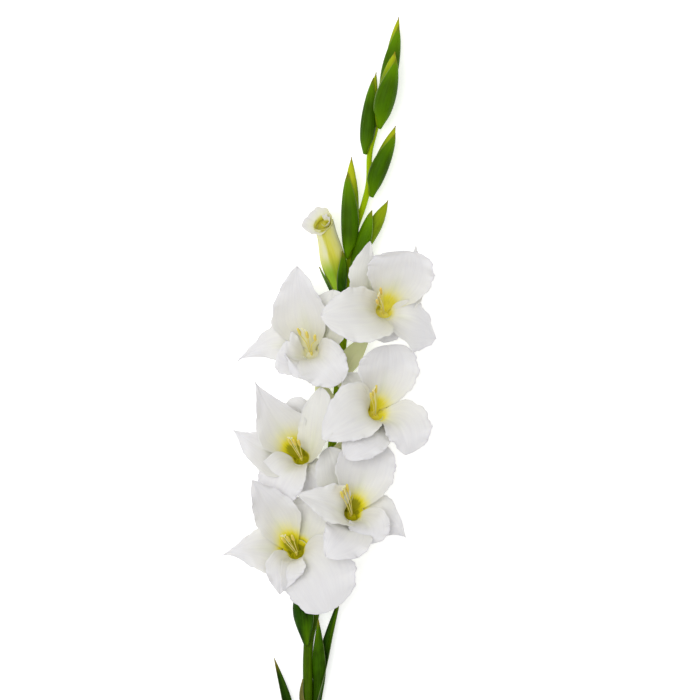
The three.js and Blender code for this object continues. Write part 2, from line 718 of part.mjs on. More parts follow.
/** A bract close round a body: it follows the path at the body's radius and a little
 * off, and closes to a point that may stand off by its flare. */
function clasp(path, radiusAt, { out, cover, off, wrap, flare }, columns) {
  const side = vec(out);
  const curlAt = (t) => radiusAt(t * cover) * 1.06 + off;
  const outward = (s) => {
    const along = path.getTangent(s);
    return side.clone().addScaledVector(along, -side.dot(along)).normalize();
  };
  const middle = new THREE.CatmullRomCurve3(
    steps(0, 1, 8).map((t) =>
      path
        .getPoint(t * cover)
        .addScaledVector(outward(t * cover), curlAt(t) + flare * Math.pow(t, 3)),
    ),
  );
  const wrapAt = (t) => THREE.MathUtils.lerp(wrap[0], wrap[1], t);
  const close = (t) => 1 - Math.pow(t, 3);
  return sheet(
    blade(
      middle,
      (t) => outward(t * cover).negate(),
      (t) => curlAt(t) * wrapAt(t) * Math.pow(close(t), 0.9),
      (t) => wrapAt(t) * Math.pow(close(t), 0.6),
    ),
    7,
    columns,
    BRACT_THICK,
  );
}

/** The bract that wraps a green bud from its outer side. */
function budBract(bud) {
  const out = [bud.side === 0 ? 0.3 : bud.side * 0.55, 0, 0.83];
  const shape = { out, cover: bud.cover, off: 1.35, wrap: [2, 1.5], flare: bud.flare };
  return clasp(budPath(bud), (s) => budRadius(bud, s), shape, 4);
}

const paint = (color, roughness) =>
  new THREE.MeshStandardMaterial({ color, roughness, metalness: 0 });
const PETAL = paint(0xf3f2ee, 0.6);
const YOUNG_PETAL = paint(0xe9ecb4, 0.6);
const STAMEN = paint(0xe6cf6a, 0.6);
const STEM_GREEN = paint(0x5f8f22, 0.5);
const BRACT_GREEN = paint(0x457418, 0.5);
const LEAF_GREEN = paint(0x2f5a16, 0.5);
const DRY = paint(0x7d6a3a, 0.8);

const spike = new THREE.Group();

/** Adds a named mesh to the spike. */
function add(name, geometry, material) {
  const mesh = new THREE.Mesh(geometry, material);
  mesh.name = name;
  spike.add(mesh);
}

add("stem", stem(), STEM_GREEN);
for (const shape of LEAVES) {
  const colour = { leaf_blade: LEAF_GREEN, sheath_leaf: DRY }[shape.name] ?? BRACT_GREEN;
  add(shape.name, leaf(shape), colour);
}
for (const floret of FLORETS) {
  const path = tubePath(floret);
  const { out } = footOf(floret, 0);
  add(`${floret.name}_perianth`, perianth(floret), PETAL);
  add(`${floret.name}_stamens`, stamens(floret), STAMEN);
  add(`${floret.name}_outer_bract`, bract(path, out, OUTER_BRACT), BRACT_GREEN);
  add(`${floret.name}_inner_bract`, bract(path, out.clone().negate(), INNER_BRACT), BRACT_GREEN);
}
add("opening_bud_petals", perianth(OPENING), YOUNG_PETAL);
for (const [which, shape] of Object.entries(OPENING_BRACTS)) {
  const radiusAt = (s) => tubeRadius(s, OPENING.body);
  add(`opening_bud_${which}_bract`, clasp(tubePath(OPENING), radiusAt, shape, 6), BRACT_GREEN);
}
for (const bud of BUDS) {
  add(`${bud.name}_core`, budCore(bud), BRACT_GREEN);
  add(`${bud.name}_bract`, budBract(bud), BRACT_GREEN);
}

export default spike;
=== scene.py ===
"""A cut spike of white gladiolus, lying on its back on a white table.

Every shape is worked out in millimetres in the part's own frame: +Y along the stem to
the tip of the spike, +Z up, the way the florets face, and the origin on the flat under
the stem's butt. A shape is a function of two parameters on a grid, mostly a blade: a
sheet of tissue about a curved middle line. The points become metres when a mesh is made.

Each point carries two vectors for its finish. "place" is where it lies on its own piece:
across it, along it and which piece it is. "tint" holds three shares from 0 to 1, whose
meaning each finish gives.
"""

from __future__ import annotations

import logging
import math
from collections.abc import Callable
from dataclasses import dataclass, field
from enum import Enum
from typing import Any

import bpy
import numpy as np
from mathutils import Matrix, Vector

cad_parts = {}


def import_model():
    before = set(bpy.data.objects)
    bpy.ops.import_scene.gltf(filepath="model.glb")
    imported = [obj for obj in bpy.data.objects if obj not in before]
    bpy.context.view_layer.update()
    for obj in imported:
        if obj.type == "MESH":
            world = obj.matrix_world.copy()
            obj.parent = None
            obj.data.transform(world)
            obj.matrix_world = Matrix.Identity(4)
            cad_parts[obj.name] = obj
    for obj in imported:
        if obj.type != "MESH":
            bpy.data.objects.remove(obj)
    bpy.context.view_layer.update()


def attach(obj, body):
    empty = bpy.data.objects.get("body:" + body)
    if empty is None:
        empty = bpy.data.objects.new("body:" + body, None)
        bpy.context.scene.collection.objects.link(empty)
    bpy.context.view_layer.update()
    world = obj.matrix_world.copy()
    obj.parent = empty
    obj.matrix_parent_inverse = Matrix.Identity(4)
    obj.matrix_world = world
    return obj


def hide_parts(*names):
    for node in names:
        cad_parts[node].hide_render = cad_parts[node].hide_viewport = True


Array = np.ndarray
LOG = logging.getLogger("gladiolus")
MM = 0.001  # metres in a millimetre
TURN = 2 * math.pi

GAP = 0.35  # between a piece and what it grows from
MOUTH_RADIUS = 7.6  # floret tube, where its lobes part
TUBE_FOOT_RADIUS = 1.1
TUBE_WALL = 0.6
TUBE_HOLLOW_FROM = 0.95  # share of the tube's length where its hollow begins
TUBE_ASIDE = 0.2  # how far a tube's way out of the stem leans to its side
LOBE_FOOT_HALF = 4.6
LOBE_SINK = 1.3  # how far a lobe's foot is sunk below the tube's mouth
LEAN_BY_SIDE = 15  # degrees: a lobe on the far wall leans more, one on the near wall less
FOCUS = 42  # before the mouth, the point that the lobes' inner faces look to
HAND = 1.9  # phase that sets the waves of one margin apart from those of the other
LOBE_THICK = 0.55  # at the midrib; the margins are 0.3 thinner
OUTER_CURL = 3.0  # radius of an outer bract at its foot
INNER_CURL = 1.95  # the same of an inner one, which lies between the stem and the tube
BRACT_THICK = 0.8  # the room that its tissue is given there

# Where the stem is a little thicker, near the feet of the florets and buds.
STEM_NODES = (186, 234, 278, 318, 357, 394, 444, 482, 498, 548, 580, 598)

# The stem's centre line: distance along it, sideways bend, height and radius.
STEM = np.array(
    [
        [-15, 0, 4.45, 4.6],
        [20, 0, 4.45, 4.6],
        [80, 0.4, 6.6, 4.4],
        [144, 1, 8.2, 4],
        [186, 1.6, 9, 3.9],
        [212, 7, 9, 3.8],
        [234, 9.6, 9, 3.7],
        [316, 17.6, 9.5, 3.6],
        [394, 25.6, 10, 3.4],
        [464, 32.8, 10, 3],
        [512, 36.8, 10, 2.7],
        [544, 47, 10.5, 2.5],
        [560, 50.4, 11, 2.4],
        [583, 51.2, 11.5, 2.2],
        [602, 56, 10.5, 1.9],
        [624, 61.6, 9.5, 1.5],
    ]
)


# Vectors and curves


def vec(*values: float) -> Array:
    """A vector of numbers."""
    return np.array(values, dtype=float)


def unit(a: Array) -> Array:
    """The vectors of an array, each made one long."""
    return a / np.maximum(np.linalg.norm(a, axis=-1, keepdims=True), 1e-12)


def square_to(a: Array, along: Array) -> Array:
    """What is left of a, made one long, once its part along another vector is out."""
    return unit(a - np.sum(a * along, axis=-1, keepdims=True) * along)


def mix(a: Any, b: Any, share: Any) -> Any:
    """A value between a and b."""
    return a + (b - a) * share


def ease(x: Any) -> Any:
    """A smooth step from 0 to 1: 3x^2 - 2x^3, with x kept between 0 and 1."""
    x = np.clip(x, 0.0, 1.0)
    return x * x * (3 - 2 * x)


def bump_at(x: Any, centre: float, width: float) -> Any:
    """A bell round a centre: exp(-((x - centre) / width)^2)."""
    return np.exp(-(((x - centre) / width) ** 2))


@dataclass(frozen=True)
class Bezier:
    """A cubic curve: (1-t)^3 a + 3 (1-t)^2 t b + 3 (1-t) t^2 c + t^3 d."""

    a: Array
    b: Array
    c: Array
    d: Array

    def at(self, t: Any) -> Array:
        """The points at t.

        Args:
            t: shares of the way, 0 at a and 1 at d.

        Returns:
            A point for each.
        """
        t = np.asarray(t, dtype=float)[..., None]
        s = 1 - t
        return s**3 * self.a + 3 * s * s * t * self.b + 3 * s * t * t * self.c + t**3 * self.d

    def along(self, t: Any) -> Array:
        """The directions at t, by the curve's derivative.

        Args:
            t: shares of the way, 0 at a and 1 at d.

        Returns:
            A direction for each, one long.
        """
        t = np.asarray(t, dtype=float)[..., None]
        s = 1 - t
        return unit(
            s * s * (self.b - self.a) + 2 * s * t * (self.c - self.b) + t * t * (self.d - self.c)
        )


@dataclass(frozen=True)
class Through:
    """A smooth curve through points: between two of them a cubic whose slopes at both
    are half the way from the point before to the point after."""

    points: Array

    def at(self, t: Any) -> Array:
        """The points at t.

        Args:
            t: shares of the way from the first point, 0, to the last, 1. Each stretch
                between two points takes up the same share.

        Returns:
            A point for each.
        """
        p = self.points
        full = np.vstack([2 * p[0] - p[1], p, 2 * p[-1] - p[-2]])
        x = np.asarray(t, dtype=float) * (len(p) - 1)
        i = np.clip(np.floor(x).astype(int), 0, len(p) - 2)
        u = (x - i)[..., None]
        a, b, c, d = full[i], full[i + 1], full[i + 2], full[i + 3]
        return 0.5 * (
            2 * b + (c - a) * u + (2 * a - 5 * b + 4 * c - d) * u**2 + (3 * b - a - 3 * c + d) * u**3
        )

    def along(self, t: Any) -> Array:
        """The directions at t, from points a little before and after."""
        t = np.asarray(t, dtype=float)
        return unit(self.at(t + 1e-3) - self.at(t - 1e-3))


Curve = Bezier | Through


def stem_at(y: Any) -> tuple[Array, Array]:
    """The stem's centre and radius at a distance y: a cubic between the rows of STEM,
    whose slope at a row runs from the row before to the row after.

    Args:
        y: distances along the stem in millimetres.

    Returns:
        The centres and the radii.
    """
    y = np.asarray(y, dtype=float)
    knots, values = STEM[:, 0], STEM[:, 1:]
    slopes = np.zeros_like(values)
    slopes[1:-1] = (values[2:] - values[:-2]) / (knots[2:] - knots[:-2])[:, None]
    slopes[-1] = (values[-1] - values[-2]) / (knots[-1] - knots[-2])
    i = np.clip(np.searchsorted(knots, y, side="right") - 1, 0, len(knots) - 2)
    span = (knots[i + 1] - knots[i])[..., None]
    u = (y - knots[i])[..., None] / span
    step = u * u * (3 - 2 * u)
    found = (
        values[i] * (1 - step)
        + values[i + 1] * step
        + slopes[i] * span * u * (1 - u) ** 2
        - slopes[i + 1] * span * u * u * (1 - u)
    )
    return np.stack([found[..., 0], y, found[..., 1]], axis=-1), found[..., 2]


def foot_of(node: float, side: float, aside: float, lift: float) -> tuple[Array, Array]:
    """Where a floret or bud leaves the stem, and the way out from the stem.

    Args:
        node: distance along the stem.
        side: 1 for the right, -1 for the left.
        aside: how far the way out leans to that side, 0 to 1.
        lift: how far above the stem's skin, beyond the gap.

    Returns:
        The point and the direction.
    """
    centre, radius = stem_at(node)
    out = vec(side * aside, 0, math.sqrt(1 - aside * aside))
    return centre + out * (radius + GAP + lift), out


# Meshes


class Slot(Enum):
    """The record's material slots."""

    PETAL = "petal"
    YOUNG_PETAL = "young_petal"
    STAMEN = "stamen"
    STEM = "stem"
    BRACT = "bract"
    BUD = "bud"
    LEAF = "leaf"
    DRY_LEAF = "dry_leaf"


Palette = dict[Slot, bpy.types.Material]


@dataclass
class Shape:
    """Points and faces gathered for one piece, and what each point carries."""

    points: list[Array] = field(default_factory=list)
    faces: list[Array] = field(default_factory=list)
    place: list[Array] = field(default_factory=list)
    tint: list[Array] = field(default_factory=list)
    count: int = 0

    def add(self, points: Array, faces: list[Array], place: Array, tint: Array) -> None:
        """Adds a part to the piece.

        Args:
            points: its points in millimetres.
            faces: its faces, each a row of the numbers of its points.
            place: the place mark of each point.
            tint: the tint mark of each point.
        """
        self.points.append(points.reshape(-1, 3))
        self.faces += [f + self.count for f in faces]
        self.place.append(place.reshape(-1, 3))
        self.tint.append(tint.reshape(-1, 3))
        self.count += self.points[-1].shape[0]

    def sheet(self, middle: Array, thick: Any, place: Array, tint: Array) -> None:
        """Adds a closed sheet about a grid of points, with half its thickness on each
        side along the grid's own normal: the way across it times the way along it.

        Args:
            middle: rows from foot to tip, columns from one margin to the other.
            thick: the thickness in millimetres, one or one for each point.
            place: the place mark of each point.
            tint: the tint mark of each point.
        """
        rows, columns = middle.shape[:2]
        ahead = np.gradient(middle, axis=0)
        across = np.gradient(middle, axis=1)
        normal = np.cross(across, ahead)
        normal[-1] = normal[-2]
        normal = unit(normal)
        half = np.broadcast_to(np.asarray(thick, dtype=float), (rows, columns))[..., None] / 2
        index = np.arange(rows * columns).reshape(rows, columns)
        # Its inner face, its outer face and the four edges between them.
        i, b = index, index + rows * columns
        faces = [
            quads(i[:-1, :-1], i[:-1, 1:], i[1:, 1:], i[1:, :-1]),
            quads(b[:-1, :-1], b[1:, :-1], b[1:, 1:], b[:-1, 1:]),
            quads(i[:-1, 0], i[1:, 0], b[1:, 0], b[:-1, 0]),
            quads(i[:-1, -1], b[:-1, -1], b[1:, -1], i[1:, -1]),
            quads(i[0, :-1], b[0, :-1], b[0, 1:], i[0, 1:]),
            quads(i[-1, :-1], i[-1, 1:], b[-1, 1:], b[-1, :-1]),
        ]
        points = np.stack([middle + normal * half, middle - normal * half])
        self.add(points, faces, np.stack([place, place]), np.stack([tint, tint]))

    def tube(self, centres: Array, along: Array, radii: Array, right: Array, mark: Array,
             piece: float = 0.0, sides: int = 32) -> None:
        """Adds a closed body through rings: centre + radius (cos a across + sin a up).

        Args:
            centres: the middle of each ring.
            along: the way along at each ring.
            radii: a radius for each ring, or one for each point of each ring.
            right: the direction that angle 0 looks to.
            mark: the tint of each ring.
            piece: the number that tells this body from its neighbours.
            sides: the points of a ring.
        """
        rows = len(centres)
        angle = ring_angles(sides)
        across = square_to(np.broadcast_to(right, along.shape), along)
        up = np.cross(along, across)
        radii = np.broadcast_to(radii if radii.ndim == 2 else radii[:, None], (rows, sides))
        points = (
            centres[:, None]
            + radii[..., None] * np.cos(angle)[None, :, None] * across[:, None]
            + radii[..., None] * np.sin(angle)[None, :, None] * up[:, None]
        )
        run = np.concatenate([[0], np.cumsum(np.linalg.norm(np.diff(centres, axis=0), axis=1))])
        # Its place runs up both sides alike, 4 mm to a radian, so that it has no seam.
        place = marks((np.minimum(angle, TURN - angle) * 4)[None, :], run[:, None], np.array(piece))
        tint = np.broadcast_to(mark if mark.ndim == 3 else mark[:, None], (rows, sides, 3))
        index = np.arange(rows * sides).reshape(rows, sides)
        nxt = np.roll(index, -1, axis=1)
        ends = np.array([rows * sides, rows * sides + 1])
        faces = [
            quads(index[:-1], nxt[:-1], nxt[1:], index[1:]),
            np.stack([np.full(sides, ends[0]), nxt[0], index[0]], axis=1),
            np.stack([np.full(sides, ends[1]), index[-1], nxt[-1]], axis=1),
        ]
        self.add(
            np.vstack([points.reshape(-1, 3), centres[[0, -1]]]),
            faces,
            np.vstack([place.reshape(-1, 3), place[[0, -1], 0]]),
            np.vstack([tint.reshape(-1, 3), tint[[0, -1], 0]]),
        )

    def build(self, name: str, palette: Palette, slot: Slot, *nodes: str) -> None:
        """Makes the object, which rides on the part and stands for its plain solids.

        Args:
            name: the piece's name.
            palette: the finishes.
            slot: the record's material slot, which has its finish in the palette.
            nodes: the solids that it stands for.
        """
        mesh = bpy.data.meshes.new(name)
        points = np.vstack(self.points) * MM
        mesh.vertices.add(len(points))
        mesh.vertices.foreach_set("co", points.astype(np.float32).ravel())
        loops = np.concatenate([f.ravel() for f in self.faces])
        sizes = np.concatenate([np.full(len(f), f.shape[1]) for f in self.faces])
        mesh.loops.add(len(loops))
        mesh.loops.foreach_set("vertex_index", loops.astype(np.int32))
        mesh.polygons.add(len(sizes))
        starts = np.concatenate([[0], np.cumsum(sizes)[:-1]])
        mesh.polygons.foreach_set("loop_start", starts.astype(np.int32))
        mesh.polygons.foreach_set("use_smooth", np.ones(len(sizes), dtype=bool))
        for mark, values in (("place", self.place), ("tint", self.tint)):
            layer = mesh.attributes.new(mark, "FLOAT_VECTOR", "POINT")
            layer.data.foreach_set("vector", np.vstack(values).astype(np.float32).ravel())
        mesh.update(calc_edges=True)
        mesh.validate()
        mesh.materials.append(palette[slot])
        piece = bpy.data.objects.new(name, mesh)
        bpy.context.scene.collection.objects.link(piece)
        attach(piece, "root")
        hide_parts(*nodes)
        LOG.info("%s: %d points, for %s", name, len(points), ", ".join(nodes))


def grid(rows: int, columns: int, start: float = 0.0, crowd: float = 1.25) -> tuple[Array, Array]:
    """The two parameters of a sheet: t from foot to tip, crowded at the tip, as a column,
    and v from one margin to the other, as a row.

    Args:
        rows: steps from foot to tip.
        columns: steps across.
        start: the first t.
        crowd: the power that crowds the rows at the tip.

    Returns:
        t and v, which broadcast to the grid.
    """
    u = np.linspace(0, 1, rows + 1)
    t = start + (0.999 - start) * (1 - (1 - u) ** crowd)
    return t[:, None], np.linspace(-1, 1, columns + 1)[None, :]


def marks(*values: Any) -> Array:
    """Three values for each point, stacked as one vector each."""
    return np.stack(np.broadcast_arrays(*values), axis=-1)


def quads(*corners: Array) -> Array:
    """Faces of four corners, from four grids of point numbers."""
    return np.stack([corner.ravel() for corner in corners], axis=1)


def ring_angles(sides: int) -> Array:
    """The angles of a ring's points, from its right and once round."""
    return np.arange(sides) * TURN / sides


def blade(
    curve: Curve, inward: Array, half: Array, bow: Array, lift: Array, t: Array, v: Array
) -> Array:
    """A blade about a curve. With a half width h and a bow b, its point is
    c + across h sin(b v) / b + n (h (1 - cos(b v)) / b + lift), so each half curls
    through the angle b; n is square to the curve and looks inward.

    Args:
        curve: the middle line.
        inward: the way that the inner face looks, for each t.
        half: half the width, for each t, or for each point.
        bow: the angle of the curl, for each t.
        lift: how far the point stands off the curl.
        t: the column of t.
        v: the row of v.

    Returns:
        The grid of points.
    """
    along = curve.along(t[:, 0])
    n = square_to(inward, along)
    across = np.cross(along, n)
    bow = np.maximum(bow, 1e-4)
    return (
        curve.at(t[:, 0])[:, None]
        + across[:, None] * (half * np.sin(bow * v) / bow)[..., None]
        + n[:, None] * (half * (1 - np.cos(bow * v)) / bow + lift)[..., None]
    )


# Finishes


def linear(colour: int) -> tuple[float, float, float, float]:
    """Turns an sRGB colour to linear light.

    Args:
        colour: its red, green and blue as one hex number.

    Returns:
        Red, green and blue as linear light, and alpha 1.
    """
    parts = [((colour >> shift) & 255) / 255 for shift in (16, 8, 0)]
    low, high = [c / 12.92 for c in parts], [((c + 0.055) / 1.055) ** 2.4 for c in parts]
    r, g, b = (a if c <= 0.04045 else z for c, a, z in zip(parts, low, high))
    return r, g, b, 1.0


def add_node(tree: bpy.types.NodeTree, kind: str, links: dict[str, Any] | None = None,
             stops: list[tuple[float, int]] | None = None, **settings: Any) -> bpy.types.Node:
    """Adds a node with its settings and links.

    Args:
        tree: the material's nodes.
        kind: the node's type.
        links: for an input, by its name or identifier, a value or the socket that feeds it.
        stops: a colour ramp's positions and colours.
        settings: the node's own properties.

    Returns:
        The node.
    """
    node = tree.nodes.new(kind)
    for key, value in settings.items():
        setattr(node, key, value)
    for key, value in (links or {}).items():
        socket = next((s for s in node.inputs if s.identifier == key), None) or node.inputs[key]
        if isinstance(value, bpy.types.NodeSocket):
            tree.links.new(value, socket)
        else:
            socket.default_value = value
    for i, (position, colour) in enumerate(stops or []):
        ramp = node.color_ramp.elements
        stop = ramp[i] if i < 2 else ramp.new(position)
        stop.position, stop.color = position, linear(colour)
    return node


def new_material(name: str) -> tuple[bpy.types.Material, bpy.types.NodeTree, bpy.types.Node]:
    """Makes an empty material with its shader wired to the output.

    Args:
        name: what it is made of.

    Returns:
        The material, its nodes and its shader.
    """
    material = bpy.data.materials.new(name)
    material.use_nodes = True
    tree = material.node_tree
    tree.nodes.clear()
    shader = add_node(tree, "ShaderNodeBsdfPrincipled")
    add_node(tree, "ShaderNodeOutputMaterial", {"Surface": shader.outputs[0]})
    return material, tree, shader


def tint_shares(tree: bpy.types.NodeTree) -> bpy.types.Node:
    """Reads a mesh's tint and splits it into its three shares."""
    tint = add_node(tree, "ShaderNodeAttribute", attribute_name="tint")
    return add_node(tree, "ShaderNodeSeparateXYZ", {"Vector": tint.outputs["Vector"]})


def layered(tree: bpy.types.NodeTree, under: Any, tints: bpy.types.Node,
            colours: dict[str, int]) -> bpy.types.NodeSocket:
    """Lays colours over one another, each as strongly as its share of the tint.

    Args:
        tree: the material's nodes.
        under: the lowest colour, or the socket that gives it.
        tints: the node that splits the tint.
        colours: the colour for each share, the lowest first.

    Returns:
        The socket of the finished colour.
    """
    for share, colour in colours.items():
        layer = add_node(
            tree,
            "ShaderNodeMix",
            {"Factor_Float": tints.outputs[share], "A_Color": under, "B_Color": linear(colour)},
            data_type="RGBA",
        )
        under = layer.outputs[2]
    return under


@dataclass(frozen=True)
class PetalTissue:
    """White petal tissue: rows of small domed cells, which scatter the light softly and
    give the eye a satin white, over veins that fan out from the foot. Tint x is the
    throat's yellow, y the tube's green and z the painted grey shade of a margin."""

    name: str = "petal tissue"
    throat: tuple[tuple[float, int], ...] = (
        (0.0, 0xE3E2E3),
        (0.16, 0xE7E6D4),
        (0.36, 0xECE7A8),
        (0.6, 0xECE04A),
        (0.78, 0xDED40C),
        (1.0, 0x9E9A00),
    )
    green: int = 0xC9D78A
    # the painted grey shade laid on the margins
    margin: int = 0xD9D5E2
    vein_mm: float = 1.6  # spacing of the veins at a petal's widest
    light_through: float = 0.22

    def build(self) -> bpy.types.Material:
        """Makes the material.

        Returns:
            The material, with its pattern, relief and sheen.
        """
        material, tree, shader = new_material(self.name)
        tints = tint_shares(tree)
        place = add_node(tree, "ShaderNodeAttribute", attribute_name="place")
        # Veins: noise drawn out along the petal, one every vein_mm across it.
        drawn = add_node(
            tree,
            "ShaderNodeVectorMath",
            {"Vector": place.outputs["Vector"], "Vector_001": (1 / self.vein_mm, 0.035, 3.7)},
            operation="MULTIPLY",
        )
        veins = add_node(
            tree,
            "ShaderNodeTexNoise",
            {"Vector": drawn.outputs[0], "Scale": 1.0, "Detail": 3.0, "Roughness": 0.55},
        )
        # The yellow runs further up along some veins than along others.
        uneven = add_node(
            tree,
            "ShaderNodeMath",
            {"Value": veins.outputs[0], "Value_001": 0.7, "Value_002": 0.65},
            operation="MULTIPLY_ADD",
        )
        yellow = add_node(
            tree,
            "ShaderNodeMath",
            {"Value": tints.outputs["X"], "Value_001": uneven.outputs[0]},
            operation="MULTIPLY",
        )
        throat = add_node(
            tree, "ShaderNodeValToRGB", {"Fac": yellow.outputs[0]}, stops=list(self.throat)
        )
        # The grey laid over the margins is painted shade.
        edged = layered(tree, throat.outputs[0], tints, {"Y": self.green, "Z": self.margin})
        # Between the veins the tissue is a little greyer.
        shade = add_node(
            tree,
            "ShaderNodeValToRGB",
            {"Fac": veins.outputs[0]},
            stops=[(0.3, 0xEDEBF0), (0.62, 0xFFFFFF)],
        )
        colour = add_node(
            tree,
            "ShaderNodeMix",
            {"Factor_Float": 0.3, "A_Color": edged, "B_Color": shade.outputs[0]},
            data_type="RGBA",
            blend_type="MULTIPLY",
        )
        coords = add_node(tree, "ShaderNodeTexCoord")
        # Domed cells: the real ones are 0.05 mm wide, drawn here at 0.5 mm to show at all.
        cells = add_node(
            tree,
            "ShaderNodeTexNoise",
            {"Vector": coords.outputs["Object"], "Scale": 1 / (0.5 * MM), "Detail": 1.0},
        )
        relief = add_node(
            tree,
            "ShaderNodeMath",
            {"Value": cells.outputs[0], "Value_001": 0.12, "Value_002": veins.outputs[0]},
            operation="MULTIPLY_ADD",
        )
        bump = add_node(
            tree,
            "ShaderNodeBump",
            {"Strength": 0.22, "Distance": 0.25 * MM, "Height": relief.outputs[0]},
        )
        tree.links.new(colour.outputs[2], shader.inputs["Base Color"])
        tree.links.new(bump.outputs[0], shader.inputs["Normal"])
        shader.inputs["Roughness"].default_value = 0.52
        shader.inputs["IOR"].default_value = 1.4
        shader.inputs["Subsurface Weight"].default_value = self.light_through
        shader.inputs["Subsurface Scale"].default_value = 1.2 * MM
        shader.inputs["Subsurface Radius"].default_value = (1.0, 0.95, 0.85)
        return material


@dataclass(frozen=True)
class GreenSkin:
    """The waxy skin of a leaf, bract, bud or stem. Its veins stand side by side along it
    and break its dull sheen into fine lines. Tint x is its lighter yellow-green, y the
    dry end of a tip and z a pale margin, laid over a floret's whole bract as painted light."""

    name: str
    deep: int
    mid: int
    light: int
    tip: int = 0x8C7A22
    margin: int = 0xDCDEAA
    vein_mm: float = 0.9
    roughness: float = 0.5

    def build(self) -> bpy.types.Material:
        """Makes the material.

        Returns:
            The material, with its pattern, relief and sheen.
        """
        material, tree, shader = new_material(self.name)
        tints = tint_shares(tree)
        place = add_node(tree, "ShaderNodeAttribute", attribute_name="place")
        drawn = add_node(
            tree,
            "ShaderNodeVectorMath",
            {"Vector": place.outputs["Vector"], "Vector_001": (1 / self.vein_mm, 0.03, 5.3)},
            operation="MULTIPLY",
        )
        veins = add_node(
            tree,
            "ShaderNodeTexNoise",
            {"Vector": drawn.outputs[0], "Scale": 1.0, "Detail": 2.5, "Roughness": 0.6},
        )
        # Patches of deeper and lighter green, about 12 mm long and 5 mm wide.
        patch = add_node(
            tree,
            "ShaderNodeVectorMath",
            {"Vector": place.outputs["Vector"], "Vector_001": (0.2, 0.08, 1.9)},
            operation="MULTIPLY",
        )
        patches = add_node(
            tree,
            "ShaderNodeTexNoise",
            {"Vector": patch.outputs[0], "Scale": 1.0, "Detail": 2.0},
        )
        both = add_node(
            tree,
            "ShaderNodeMix",
            {
                "Factor_Float": 0.5,
                "A_Float": veins.outputs[0],
                "B_Float": patches.outputs[0],
            },
            data_type="FLOAT",
        )
        green = add_node(
            tree,
            "ShaderNodeValToRGB",
            {"Fac": both.outputs[0]},
            stops=[(0.36, self.deep), (0.62, self.mid)],
        )
        over = {"X": self.light, "Y": self.tip, "Z": self.margin}
        colour = layered(tree, green.outputs[0], tints, over)
        bump = add_node(
            tree,
            "ShaderNodeBump",
            {"Strength": 0.6, "Distance": 0.3 * MM, "Height": veins.outputs[0]},
        )
        tree.links.new(colour, shader.inputs["Base Color"])
        tree.links.new(bump.outputs[0], shader.inputs["Normal"])
        shader.inputs["Roughness"].default_value = self.roughness
        shader.inputs["IOR"].default_value = 1.42
        shader.inputs["Specular IOR Level"].default_value = 0.06
        shader.inputs["Subsurface Weight"].default_value = 0.08
        shader.inputs["Subsurface Scale"].default_value = 0.8 * MM
        shader.inputs["Subsurface Radius"].default_value = (0.6, 1.0, 0.3)
        return material


@dataclass(frozen=True)
class PollenSac:
    """Cream filaments and yellow anthers, dusted with grains of pollen that make them
    look dull and rough. Tint x is the anther's yellow, y the warmer orange of a ripe one
    and z the stigma's near white."""

    name: str = "filament and pollen"
    filament: int = 0xEBDE74
    anther: int = 0xE9D258
    ripe: int = 0xDFA650
    stigma: int = 0xF1ECC0

    def build(self) -> bpy.types.Material:
        """Makes the material.

        Returns:
            The material, with its pattern, relief and sheen.
        """
        material, tree, shader = new_material(self.name)
        over = {"X": self.anther, "Y": self.ripe, "Z": self.stigma}
        colour = layered(tree, linear(self.filament), tint_shares(tree), over)
        coords = add_node(tree, "ShaderNodeTexCoord")
        # Grains: the real ones are 0.08 mm across, drawn here at 0.3 mm to show at all.
        grains = add_node(
            tree,
            "ShaderNodeTexNoise",
            {"Vector": coords.outputs["Object"], "Scale": 1 / (0.3 * MM), "Detail": 2.0},
        )
        bump = add_node(
            tree,
            "ShaderNodeBump",
            {"Strength": 0.5, "Distance": 0.1 * MM, "Height": grains.outputs[0]},
        )
        tree.links.new(colour, shader.inputs["Base Color"])
        tree.links.new(bump.outputs[0], shader.inputs["Normal"])
        shader.inputs["Roughness"].default_value = 0.65
        shader.inputs["Subsurface Weight"].default_value = 0.15
        shader.inputs["Subsurface Scale"].default_value = 0.6 * MM
        return material


# The furled petals of the opening bud are creamier than the open ones.
YOUNG_THROAT = (
    (0.0, 0xE2E2DC),
    (0.28, 0xE0DFC4),
    (0.42, 0xDCDA90),
    (0.62, 0xD2CE46),
    (0.85, 0xBAB410),
    (1.0, 0x8E8A00),
)


FINISHES = {
    Slot.PETAL: PetalTissue(),
    Slot.YOUNG_PETAL: PetalTissue("young petal tissue", YOUNG_THROAT, green=0x86AC08),
    Slot.STAMEN: PollenSac(),
    Slot.STEM: GreenSkin("green stem", 0x163400, 0x345C00, 0xA6C400),
    Slot.BRACT: GreenSkin("green bract", 0x0A2400, 0x2A5200, 0x6E9C00),
    Slot.BUD: GreenSkin("green bud", 0x265600, 0x4E8600, 0xB2BC1C),
    Slot.LEAF: GreenSkin("sword leaf", 0x081C00, 0x163600, 0x3E6404),
    Slot.DRY_LEAF: GreenSkin("dry leaf sheath", 0x3A3612, 0x68662C, 0x8E8C50, roughness=0.7),
}


# The florets


@dataclass(frozen=True)
class RingSizes:
    """What the three lobes of one ring of a floret have in common."""

    inset: float  # how far their feet stand inside the tube's skin
    lean: float  # degrees that they lean out at their feet
    overlap: float  # width of a foot as a share of a third of the funnel
    sector: float  # greatest angle that half a foot curls round
    margins: float  # how far their margins lie to the viewer
    sunk: float  # how far they lie back as a whole
    yellow: float  # how much further the yellow runs up on the far wall


class Ring(Enum):
    """The two rings of lobes, which take turns round the mouth."""

    INNER = RingSizes(1.65, 27, 1.06, 1.15, 1.2, 0.0, 0.22)
    OUTER = RingSizes(0.75, 32, 0.97, 0.8, -4.0, 1.3, 0.1)


